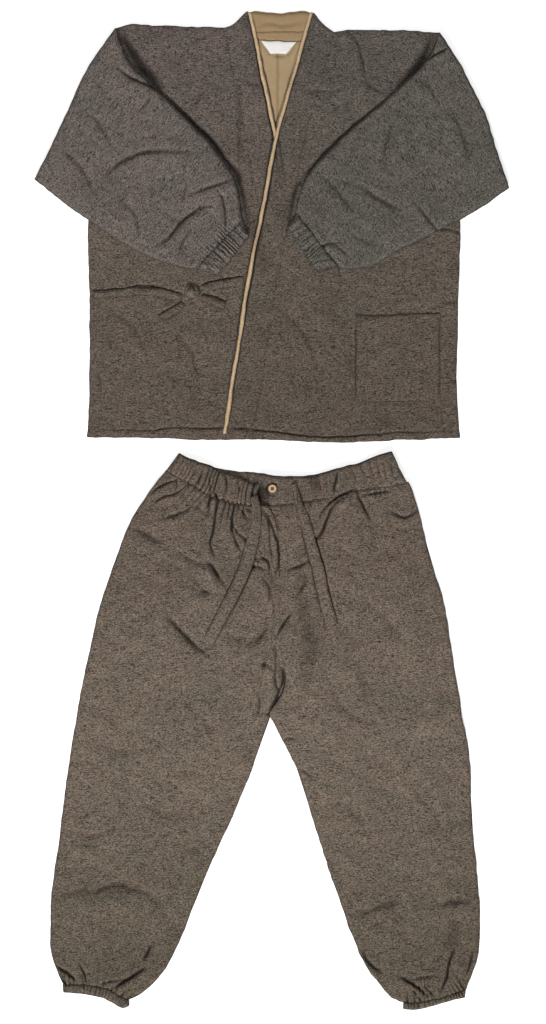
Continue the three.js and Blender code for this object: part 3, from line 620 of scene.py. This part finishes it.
def cloth_piece(node, levels, look, edge, creases, waves, pleats):
    """A piece of cloth on the form of its solid, with its creases and pleats, and painted shade in their
    grooves and along its seams.
    """
    slot, material = look
    seam, growth, drop, flare = edge
    mesh = fine_surface(node, levels)
    points = corners_of(mesh)
    xy = points[:, :2]
    rim = np.exp(-(edge_distance(mesh, points) / SEAM_ROUNDING) ** 2)
    folds = crease_height(creases, xy) + pleat_height(pleats, xy)
    points[:, 2] += folds + waves * wave_height(xy) - seam * rim
    points[:, 2] = np.maximum(points[:, 2], LOWEST)
    out = outward(mesh)
    points[:, :2] += outline_drift(xy) + pushed(node, xy) + growth * out
    if node in NECK_PIECES:
        points[:, 1] += np.interp(points[:, 1], NECK_HEIGHTS, NECK_DROPS)
    # Painted shade, darker in the grooves of the creases and pleats and along the seams at the open edges
    painted_darkness = np.clip(-folds / FULL_PAINTED_SHADE_DEPTH + PAINTED_RIM_SHADE * seam * rim, 0, 1)
    shade = mesh.attributes.new("shade", "FLOAT", "POINT")
    shade.data.foreach_set("value", painted_darkness.astype(np.float32))
    mesh.vertices.foreach_set("co", (points * MM).ravel())
    mesh.update()
    add_cut_edge(mesh, out, drop, flare)
    mesh.shade_smooth()
    piece = bpy.data.objects.new("cloth_" + node, mesh)
    bpy.context.scene.collection.objects.link(piece)
    piece.data.materials.clear()
    piece.data.materials.append(material)
    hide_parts(node)
    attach(piece, "root")
    return piece


# Nodes of the materials

BLACK = (0, 0, 0, 1)
WHITE = (1, 1, 1, 1)


def srgb(colour):
    """A colour for a shader from its usual 0 to 255 values."""
    def linear(value):
        return value / 12.92 if value <= 0.04045 else ((value + 0.055) / 1.055) ** 2.4

    return (*[linear(c / 255) for c in colour], 1.0)


def new_material(name):
    """A material with one plain shader."""
    material = bpy.data.materials.new(name)
    material.use_nodes = True
    tree = material.node_tree
    tree.nodes.clear()
    output = tree.nodes.new("ShaderNodeOutputMaterial")
    shader = tree.nodes.new("ShaderNodeBsdfPrincipled")
    tree.links.new(shader.outputs["BSDF"], output.inputs["Surface"])
    return material, tree, shader


def grain_coordinates(tree, angle, across, along):
    """Coordinates of the weave, turned to its grain and stretched along it."""
    place = tree.nodes.new("ShaderNodeTexCoord")
    turn = tree.nodes.new("ShaderNodeMapping")
    turn.inputs["Rotation"].default_value = (0, 0, -math.radians(angle))
    stretch = tree.nodes.new("ShaderNodeMapping")
    stretch.inputs["Scale"].default_value = (along, across, across)
    tree.links.new(place.outputs["Object"], turn.inputs["Vector"])
    tree.links.new(turn.outputs["Vector"], stretch.inputs["Vector"])
    return stretch.outputs["Vector"]


def noise(tree, vector, scale, detail, roughness):
    """Soft noise from 0 to 1 at the coordinates."""
    node = tree.nodes.new("ShaderNodeTexNoise")
    node.inputs["Scale"].default_value = scale
    node.inputs["Detail"].default_value = detail
    node.inputs["Roughness"].default_value = roughness
    tree.links.new(vector, node.inputs["Vector"])
    return node.outputs["Fac"]


def ramp(tree, factor, stops):
    """Colours that follow the factor: each stop holds a value of it and the colour there."""
    node = tree.nodes.new("ShaderNodeValToRGB")
    elements = node.color_ramp.elements
    while len(elements) < len(stops):
        elements.new(1.0)
    for element, (at, colour) in zip(elements, stops):
        element.position = at
        element.color = colour
    tree.links.new(factor, node.inputs["Fac"])
    return node.outputs["Color"]


def colour_mix(tree, blend, first, second):
    """A node that joins two colours."""
    node = tree.nodes.new("ShaderNodeMix")
    node.data_type = "RGBA"
    node.blend_type = blend
    tree.links.new(first, node.inputs["A"])
    tree.links.new(second, node.inputs["B"])
    return node


def mixed(tree, factor, first, second):
    """The first colour, and the second where the factor is 1."""
    node = colour_mix(tree, "MIX", first, second)
    tree.links.new(factor, node.inputs["Factor"])
    return node.outputs["Result"]


def multiplied(tree, first, second):
    """The product of two colours."""
    node = colour_mix(tree, "MULTIPLY", first, second)
    node.inputs["Factor"].default_value = 1.0
    return node.outputs["Result"]


def shaded(tree, colour, depth):
    """The colour with painted shade, darker where the cloth folds in and at its edges, down to a share of
    it.
    """
    here = tree.nodes.new("ShaderNodeAttribute")
    here.attribute_name = "shade"
    half = 0.5 + 0.5 * depth
    dark = ramp(tree, here.outputs["Fac"], [
        (0.0, WHITE),
        (0.5, (half, half, half, 1)),
        (1.0, (depth, depth, depth, 1)),
    ])
    return multiplied(tree, colour, dark)


def tinted(tree, colour, tints):
    """The colour, changed along Y between -1 and 1 metre by the rows of tints."""
    place = tree.nodes.new("ShaderNodeTexCoord")
    axes = tree.nodes.new("ShaderNodeSeparateXYZ")
    span = tree.nodes.new("ShaderNodeMapRange")
    span.inputs["From Min"].default_value = -1
    tree.links.new(place.outputs["Object"], axes.inputs["Vector"])
    tree.links.new(axes.outputs["Y"], span.inputs["Value"])
    shares = ramp(tree, span.outputs["Result"], [((y + 1) / 2, (*share, 1)) for y, share in tints])
    return multiplied(tree, colour, shares)


def add_relief(tree, shader, height, strength, distance):
    """Fine relief of the threads."""
    bump = tree.nodes.new("ShaderNodeBump")
    bump.inputs["Strength"].default_value = strength
    bump.inputs["Distance"].default_value = distance
    tree.links.new(height, bump.inputs["Height"])
    tree.links.new(bump.outputs["Normal"], shader.inputs["Normal"])


# Fineness of the weave, in cells to a metre across and along the grain

THREADS = (900, 330)
SLUBS = (560, 95)
PATCHES = (22, 12)
FINE_THREADS = (900, 260)


# Shares of a colour in its darker and lighter patches, and its darkest share under painted shade in a fold

DARK_PATCH = (0.95, 0.98, 0.97)
LIGHT_PATCH = (1.05, 1.01, 1.01)
LIGHTER_FLECK = 1.1
LIGHTER_THREAD = 1.04
HEATHER_PAINTED_SHADE = 0.17
FINE_PAINTED_SHADE = 0.35


def heather_cloth(name, angle, threads, tints):
    """Slubbed plain weave of dark and light threads, its grain turned by an angle, with painted shade in
    its folds.
    """
    base, fleck, light = threads
    material, tree, shader = new_material(name)
    weave = grain_coordinates(tree, angle, *THREADS)
    slubs = grain_coordinates(tree, angle, *SLUBS)
    patches = grain_coordinates(tree, angle, *PATCHES)
    ground = ramp(tree, noise(tree, patches, scale=1.0, detail=4, roughness=0.6), [
        (0.36, srgb(np.multiply(base, DARK_PATCH))),
        (0.64, srgb(np.multiply(base, LIGHT_PATCH))),
    ])
    mottle = noise(tree, weave, scale=1.0, detail=2, roughness=0.5)
    light_part = ramp(tree, mottle, [(0.48, BLACK), (0.62, WHITE)])
    dark_part = ramp(tree, mottle, [(0.34, WHITE), (0.46, BLACK)])
    dark_slub = ramp(tree, noise(tree, slubs, scale=1.0, detail=2, roughness=0.6), [
        (0.56, BLACK),
        (0.67, (0.9, 0.9, 0.9, 1)),
    ])
    hue = noise(tree, patches, scale=2.0, detail=2, roughness=0.5)
    dark_colour = ramp(tree, hue, [
        (0.3, srgb(fleck)),
        (0.7, srgb(np.multiply(fleck, LIGHTER_FLECK))),
    ])
    light_colour = ramp(tree, hue, [
        (0.3, srgb(light)),
        (0.7, srgb(np.multiply(light, LIGHTER_THREAD))),
    ])
    colour = mixed(tree, light_part, ground, light_colour)
    colour = mixed(tree, dark_part, colour, dark_colour)
    colour = mixed(tree, dark_slub, colour, dark_colour)
    colour = tinted(tree, colour, tints)
    tree.links.new(shaded(tree, colour, HEATHER_PAINTED_SHADE), shader.inputs["Base Color"])
    shader.inputs["Roughness"].default_value = 0.95
    shader.inputs["Specular IOR Level"].default_value = 0.1
    shader.inputs["Sheen Weight"].default_value = 0.04
    shader.inputs["Sheen Roughness"].default_value = 0.6
    add_relief(tree, shader, mottle, strength=0.3, distance=0.5 * MM)
    return material


def fine_cloth(name, angle, base, spread, roughness, sheen):
    """Smooth fine cloth of one colour, with a slight thread and painted shade in its folds."""
    material, tree, shader = new_material(name)
    weave = grain_coordinates(tree, angle, *FINE_THREADS)
    colour = ramp(tree, noise(tree, weave, scale=1.0, detail=3, roughness=0.6), [
        (0.35, srgb(np.multiply(base, 1 - spread))),
        (0.65, srgb(np.multiply(base, 1 + spread))),
    ])
    tree.links.new(shaded(tree, colour, FINE_PAINTED_SHADE), shader.inputs["Base Color"])
    shader.inputs["Roughness"].default_value = roughness
    shader.inputs["Specular IOR Level"].default_value = 0.3
    shader.inputs["Sheen Weight"].default_value = sheen
    threads = noise(tree, weave, scale=1.0, detail=2, roughness=0.6)
    add_relief(tree, shader, threads, strength=0.2, distance=0.3 * MM)
    return material


# Colours of the threads of each heather cloth
# Columns: ground, dark fleck, light thread

JACKET_THREADS = ((93, 84, 75), (36, 32, 28), (126, 115, 104))
RIGHT_SLEEVE_THREADS = ((92, 84, 79), (35, 31, 29), (123, 115, 109))
# The left sleeve's colours are darker than the right's: painted shade of its tilt away from the light
LEFT_SLEEVE_SHADED_THREADS = ((83, 79, 73), (32, 30, 28), (113, 108, 101))
LEG_THREADS = ((99, 88, 78), (39, 34, 30), (134, 122, 109))


# Tints of the cloth by height, which darken it towards its hem and its top
# Columns: height in metres, shares of red, green and blue there

RIGHT_TINTS = [(0.15, (0.80, 0.78, 0.77)), (0.45, (0.89, 0.88, 0.87)), (0.80, (0.87, 0.865, 0.96))]
LEFT_TINTS = [(0.15, (0.76, 0.74, 0.73)), (0.40, (0.83, 0.83, 0.82)), (0.80, (0.76, 0.81, 0.87))]
LEG_TINTS = [
    (-0.85, (0.69, 0.71, 0.68)),
    (-0.50, (1.0, 1.0, 1.0)),
    (-0.30, (1.0, 1.0, 1.0)),
    (-0.05, (0.87, 0.85, 0.86)),
]
EVEN = [(0.0, (1, 1, 1)), (0.9, (1, 1, 1))]


# Looks of the cloth: material slot and material

LOOKS = {
    "right": ("cloth", heather_cloth("cloth_right", 0, JACKET_THREADS, RIGHT_TINTS)),
    "left": ("cloth", heather_cloth("cloth_left", 0, JACKET_THREADS, LEFT_TINTS)),
    "right_sleeve": ("cloth", heather_cloth("cloth_sleeve_right", 47, RIGHT_SLEEVE_THREADS, EVEN)),
    "left_sleeve": ("cloth", heather_cloth("cloth_sleeve_left", -52, LEFT_SLEEVE_SHADED_THREADS, EVEN)),
    "leg": ("cloth", heather_cloth("cloth_leg", 0, LEG_THREADS, LEG_TINTS)),
    "lining": ("lining", fine_cloth("lining", 90, (161, 138, 104), spread=0.04, roughness=0.7, sheen=0.15)),
    "facing": ("lining", fine_cloth("facing", 0, (151, 126, 93), spread=0.05, roughness=0.8, sheen=0.1)),
    "piping": ("piping", fine_cloth("piping", 90, (203, 174, 137), spread=0.13, roughness=0.7, sheen=0.1)),
    "label": ("label", fine_cloth("label", 0, (232, 230, 226), spread=0.02, roughness=0.6, sheen=0.1)),
}


# Middle lines of the narrow pieces that lie on the cloth, in millimetres

STRING_RIGHT = [(-29, -28), (-43, -90), (-64, -141), (-88, -188), (-115, -240)]
STRING_LEFT = [(60, -20), (71, -63), (82, -100), (92, -145), (101, -180), (108, -208)]
TIE_SIDE = [(-322, 387), (-270, 390), (-228, 397), (-190, 388), (-161, 382)]
TIE_FRONT = [(-126, 397), (-110, 402), (-80, 408), (-50, 412)]
TAIL_RIGHT = [(-126, 381), (-112, 377), (-98, 372), (-85, 367)]
TAIL_LEFT = [(-199, 344), (-184, 354), (-170, 362), (-158, 370)]
EDGE_RIGHT = [(23, 571), (5, 679), (-17, 787), (-28, 841), (-40, 896)]
EDGE_LEFT = [(-85, 138), (-68, 248), (-52, 355), (-32, 463), (-10, 571), (8, 679), (40, 787), (71, 896)]


# Dips of the cloth beside those pieces, in millimetres, whose painted shade draws a dark line beside each
# piece
# Columns: half width, depth and lift of the dip, its distance to the left of the line, line

STRING_SEATS = [
    (3.0, 2.4, 0.5, 11, STRING_RIGHT),
    (3.0, 2.4, 0.5, -11, STRING_RIGHT),
    (3.0, 2.4, 0.5, 11, STRING_LEFT),
    (3.0, 2.4, 0.5, -11, STRING_LEFT),
]

TIE_SEATS = [
    (3.2, 4.8, 0.3, 7, TIE_SIDE),
    (3.0, 0.8, 0.2, -7, TIE_SIDE),
    (3.2, 4.8, 0.3, 7, TIE_FRONT),
    (3.0, 0.8, 0.2, -7, TIE_FRONT),
    (3.0, 3.8, 0.3, 7, TAIL_RIGHT),
    (3.0, 0.6, 0.2, -7, TAIL_RIGHT),
    (3.0, 3.8, 0.3, 7, TAIL_LEFT),
    (3.0, 0.6, 0.2, -7, TAIL_LEFT),
]

EDGE_SEATS = [
    (3.0, 2.4, 0.0, 4.4, EDGE_RIGHT),
    (3.0, 2.4, 0.0, -4.4, EDGE_RIGHT),
    (3.0, 2.4, 0.0, 4.4, EDGE_LEFT),
    (3.0, 2.4, 0.0, -4.4, EDGE_LEFT),
]


def seats(rows):
    """The dips as creases."""
    return [(half, depth, lift, beside(line, away)) for half, depth, lift, away, line in rows]


# Creases of each kind of piece

NECK_CREASES = NECK_LINES + seats(EDGE_SEATS)
JACKET_CREASES = JACKET_FOLDS + JACKET_ROLLS + SLEEVE_SHADOW_HOLLOWS
FRONT_CREASES = JACKET_CREASES + HEM_SEAM + seats(TIE_SEATS) + seats(EDGE_SEATS)
POCKET_CREASES = JACKET_CREASES + POCKET_SEAMS
HIP_FOLDS = RIGHT_HIP_FOLDS + FLY_FOLDS + LEFT_HIP_FOLDS
WAIST_CREASES = BUTTON_SHADOW_DIPS + HIP_FOLDS + CROTCH_FOLDS + LEG_HEM_FOLDS + LEG_ROLLS
LEG_CREASES = WAIST_CREASES + seats(STRING_SEATS)


# Edges of the cloth in millimetres
# Columns: depth of the seam, which also sets the painted shade along it, growth of the outline, height and
# reach of the cut edge, which has painted shadow at its foot

EDGES = {
    "plain": (0.9, 0.6, 1.4, 0.7),
    "front": (0.35, 0.3, 1.4, 1.2),
    "collar": (0.35, 0.6, 1.4, 0.7),
    "back_collar": (0.5, 0.6, 1.4, 0.7),
    "piping": (1.2, -0.5, 2.0, 0.7),
    "pocket": (0.4, 0.6, 2.4, 0.7),
    "sleeve": (0.9, 0.3, 4.0, 1.2),
    "cuff": (1.2, 0.6, 4.0, 0.7),
    "tie": (0.8, 0.0, 2.2, 1.2),
    "tail": (0.8, 0.0, 1.6, 1.2),
    "knot": (0.9, 0.0, 2.2, 1.2),
    "string": (0.5, 0.0, 2.2, 1.2),
    "label": (0.2, 0.0, 0.9, 0.8),
    "leg": (0.5, 0.3, 1.4, 1.2),
    "leg_band": (1.0, 0.6, 1.6, 0.7),
    "fly": (0.5, 0.6, 1.4, 0.5),
}


# Pieces of the set
# Columns: node, smoothing levels, look, edge, creases, share of the waves, pleats,
# and in metres the flat width, length and area

PIECES = [
    ("jacket_back_right", 1, "right", "plain", (), 0, (), 0.342, 0.743, 0.2410),
    ("jacket_back_left", 1, "left", "plain", (), 0, (), 0.328, 0.737, 0.2310),
    ("lining_right", 3, "lining", "plain", NECK_CREASES, 0.3, (), 0.043, 0.189, 0.0047),
    ("lining_left", 3, "lining", "plain", NECK_CREASES, 0.3, (), 0.048, 0.187, 0.0045),
    ("collar_back", 3, "piping", "back_collar", (), 0.3, (), 0.195, 0.051, 0.0069),
    ("collar_facing", 3, "facing", "plain", NECK_CREASES, 0.2, (), 0.118, 0.037, 0.0038),
    ("neck_band", 3, "facing", "plain", NECK_CREASES, 0.2, (), 0.106, 0.019, 0.0018),
    ("jacket_front_right", 4, "right", "front", FRONT_CREASES, 1, (), 0.377, 0.745, 0.2237),
    ("jacket_front_left", 4, "left", "front", FRONT_CREASES, 1, (), 0.371, 0.738, 0.2187),
    ("collar_right", 3, "right", "collar", FRONT_CREASES, 1, (), 0.048, 0.783, 0.0358),
    ("collar_left", 3, "left", "collar", FRONT_CREASES, 1, (), 0.048, 0.781, 0.0355),
    ("piping_right", 3, "piping", "piping", JACKET_CREASES, 1, (), 0.010, 0.775, 0.0077),
    ("piping_left", 3, "piping", "piping", JACKET_CREASES, 1, (), 0.010, 0.775, 0.0077),
    ("pocket", 4, "left", "pocket", POCKET_CREASES, 1, (), 0.152, 0.157, 0.0235),
    ("sleeve_right", 4, "right_sleeve", "sleeve", SLEEVE_RIGHT_CREASES, 1, RIGHT_PLEATS,
     0.294, 0.401, 0.0859),
    ("sleeve_left", 4, "left_sleeve", "sleeve", SLEEVE_LEFT_CREASES, 1, LEFT_PLEATS,
     0.294, 0.401, 0.0867),
    ("sleeve_cuff_right", 3, "right_sleeve", "cuff", (), 0.5, RIGHT_CUFF_PLEATS, 0.035, 0.117, 0.0036),
    ("sleeve_cuff_left", 3, "left_sleeve", "cuff", (), 0.5, LEFT_CUFF_PLEATS, 0.035, 0.117, 0.0036),
    ("sleeve_armhole_right", 2, "right", "plain", (), 0, (), 0.087, 0.309, 0.0162),
    ("sleeve_armhole_left", 2, "left", "plain", (), 0, (), 0.081, 0.300, 0.0152),
    ("tie_side", 3, "right", "tie", (), 0.6, (), 0.013, 0.165, 0.0021),
    ("tie_front", 3, "right", "string", (), 0.6, (), 0.013, 0.080, 0.0010),
    ("tie_tail_right", 3, "right", "tail", (), 0.6, (), 0.014, 0.048, 0.0006),
    ("tie_tail_left", 3, "right", "tail", (), 0.6, (), 0.014, 0.052, 0.0007),
    ("tie_knot", 3, "right", "knot", KNOT_CREASES, 0.6, (), 0.025, 0.029, 0.0007),
    ("trouser_back_right", 1, "leg", "plain", (), 0, (), 0.350, 0.940, 0.2571),
    ("trouser_back_left", 1, "leg", "plain", (), 0, (), 0.333, 0.925, 0.2505),
    ("trouser_front_right", 4, "leg", "leg", LEG_CREASES, 1, LEG_PLEATS, 0.350, 0.940, 0.2584),
    ("trouser_front_left", 4, "leg", "leg", LEG_CREASES, 1, LEG_PLEATS, 0.338, 0.925, 0.2515),
    ("leg_band_right", 3, "leg", "leg_band", WAIST_CREASES, 1, LEG_BAND_PLEATS, 0.028, 0.122, 0.0025),
    ("leg_band_left", 3, "leg", "leg_band", WAIST_CREASES, 1, LEG_BAND_PLEATS, 0.017, 0.113, 0.0018),
    ("waistband_back", 2, "leg", "plain", (), 0, WAIST_PLEATS, 0.050, 0.430, 0.0210),
    ("waistband_front_right", 3, "leg", "leg", WAIST_CREASES, 1, WAIST_PLEATS, 0.050, 0.175, 0.0071),
    ("waistband_front_left", 3, "leg", "leg", WAIST_CREASES, 1, WAIST_PLEATS, 0.062, 0.267, 0.0125),
    ("fly_edge", 3, "leg", "fly", WAIST_CREASES, 1, (), 0.013, 0.131, 0.0017),
    ("drawstring_right", 3, "leg", "string", (), 1, LEG_PLEATS, 0.020, 0.290, 0.0054),
    ("drawstring_left", 3, "leg", "string", (), 1, LEG_PLEATS, 0.020, 0.265, 0.0046),
    ("label", 3, "label", "label", (), 0.3, (), 0.022, 0.062, 0.0010),
]

for node, levels, look, edge, creases, waves, pleats, width, length, area in PIECES:
    piece = cloth_piece(node, levels, LOOKS[look], EDGES[edge], creases, waves, pleats)


# Button and its thread

THREAD_HALF = 3.1
THREAD_WIDTH = 1.0
THREAD_LIFT = 0.1


# Colours of the button, with its own dark edge and painted shadow in the dark outer ring
# Columns: share of its radius, colour there

BUTTON_RINGS_AND_RIM_SHADOW = [
    (0.0, (158, 130, 98)),
    (0.42, (146, 118, 86)),
    (0.56, (202, 178, 144)),
    (0.82, (198, 172, 136)),
    (0.90, (96, 74, 52)),
    (1.0, (62, 46, 34)),
]


def turned_button(name, middle, radius):
    """Smooth button, light round its hollow middle, dark at its rim with painted shadow round its edge."""
    material, tree, shader = new_material(name)
    place = tree.nodes.new("ShaderNodeTexCoord")
    spot = tree.nodes.new("ShaderNodeMapping")
    spot.inputs["Location"].default_value = (-middle.x / radius, -middle.y / radius, 0)
    spot.inputs["Scale"].default_value = (1 / radius, 1 / radius, 0)
    tree.links.new(place.outputs["Object"], spot.inputs["Vector"])
    away = tree.nodes.new("ShaderNodeVectorMath")
    away.operation = "LENGTH"
    tree.links.new(spot.outputs["Vector"], away.inputs["Vector"])
    rings = ramp(tree, away.outputs["Value"], [(at, srgb(colour)) for at, colour in BUTTON_RINGS_AND_RIM_SHADOW])
    tree.links.new(rings, shader.inputs["Base Color"])
    shader.inputs["Roughness"].default_value = 0.35
    return material


def button_thread(centre, height):
    """The cross of thread that holds the button, at a place in metres."""
    made = bmesh.new()
    for angle in (45, 135):
        strand = bmesh.ops.create_cube(made, size=1.0)["verts"]
        strand_size = (2 * THREAD_HALF * MM, THREAD_WIDTH * MM, THREAD_WIDTH * MM)
        bmesh.ops.scale(made, vec=strand_size, verts=strand)
        turn = Matrix.Rotation(math.radians(angle), 4, "Z")
        bmesh.ops.rotate(made, cent=(0, 0, 0), matrix=turn, verts=strand)
        bmesh.ops.translate(made, vec=(centre.x, centre.y, height), verts=strand)
    mesh = bpy.data.meshes.new("button_thread")
    made.to_mesh(mesh)
    made.free()
    thread = bpy.data.objects.new("button_thread", mesh)
    bpy.context.scene.collection.objects.link(thread)
    material = fine_cloth("button_thread", 0, (70, 52, 40), spread=0.1, roughness=0.9, sheen=0.1)
    mesh.materials.append(material)
    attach(thread, "root")


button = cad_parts["button"]
button_box = [button.matrix_world @ Vector(c) for c in button.bound_box]
button_middle = sum(button_box, Vector()) / 8
button_top = max(c.z for c in button_box)
button_radius = (max(c.x for c in button_box) - min(c.x for c in button_box)) / 2
button.data.materials.clear()
button.data.materials.append(turned_button("button", button_middle, button_radius))
button_thread(button_middle, button_top + THREAD_LIFT * MM)


# Floor

FLOOR_SIZE = 40
FLOOR_DROP = 0.5 * MM
FLOOR_GLOW = 0.55
FLOOR_CELLS = (3, 3)


def floor_material():
    """Plain pale floor with a faint glow."""
    material, tree, shader = new_material("floor")
    vector = grain_coordinates(tree, 0, *FLOOR_CELLS)
    colour = ramp(tree, noise(tree, vector, scale=1.0, detail=2, roughness=0.5), [
        (0.0, (0.93, 0.93, 0.93, 1)),
        (1.0, (0.95, 0.95, 0.95, 1)),
    ])
    tree.links.new(colour, shader.inputs["Base Color"])
    shader.inputs["Roughness"].default_value = 0.9
    shader.inputs["Emission Color"].default_value = WHITE
    shader.inputs["Emission Strength"].default_value = FLOOR_GLOW
    return material


bpy.ops.mesh.primitive_plane_add(size=FLOOR_SIZE, location=(0, 0, -FLOOR_DROP))
floor = bpy.context.object
floor.name = "floor"
floor.data.materials.append(floor_material())


# Light

WORLD_LIGHT = 0.32


def area_light(name, at, size, power, colour):
    """A round soft light that looks at the middle of the floor."""
    data = bpy.data.lights.new(name, "AREA")
    data.shape = "DISK"
    data.size = size
    data.energy = power
    data.color = colour
    light = bpy.data.objects.new(name, data)
    light.location = at
    light.rotation_euler = (-Vector(at)).to_track_quat("-Z", "Y").to_euler()
    bpy.context.scene.collection.objects.link(light)


area_light("key_light", at=(-2.7, -16.2, 8.7), size=3.3, power=4700, colour=(1.0, 0.985, 0.965))
area_light("fill_light", at=(-2.4, 3.2, 4.6), size=3.0, power=70, colour=(0.97, 0.985, 1.0))

world = bpy.data.worlds.new("studio")
world.use_nodes = True
world.node_tree.nodes["Background"].inputs["Color"].default_value = WHITE
world.node_tree.nodes["Background"].inputs["Strength"].default_value = WORLD_LIGHT
bpy.context.scene.world = world
bpy.context.scene.view_settings.view_transform = "Standard"


# Camera, straight above the middle of the picture

PICTURE_MIDDLE = (0.0018, -0.0036)
PICTURE_HEIGHT = 1.8432
CAMERA_HEIGHT = 6.0
SENSOR_HEIGHT = 36

camera_data = bpy.data.cameras.new("camera")
camera_data.sensor_fit = "VERTICAL"
camera_data.sensor_height = SENSOR_HEIGHT
camera_data.lens = SENSOR_HEIGHT * CAMERA_HEIGHT / PICTURE_HEIGHT
camera = bpy.data.objects.new("camera", camera_data)
camera.location = (*PICTURE_MIDDLE, CAMERA_HEIGHT)
bpy.context.scene.collection.objects.link(camera)
bpy.context.scene.camera = camera
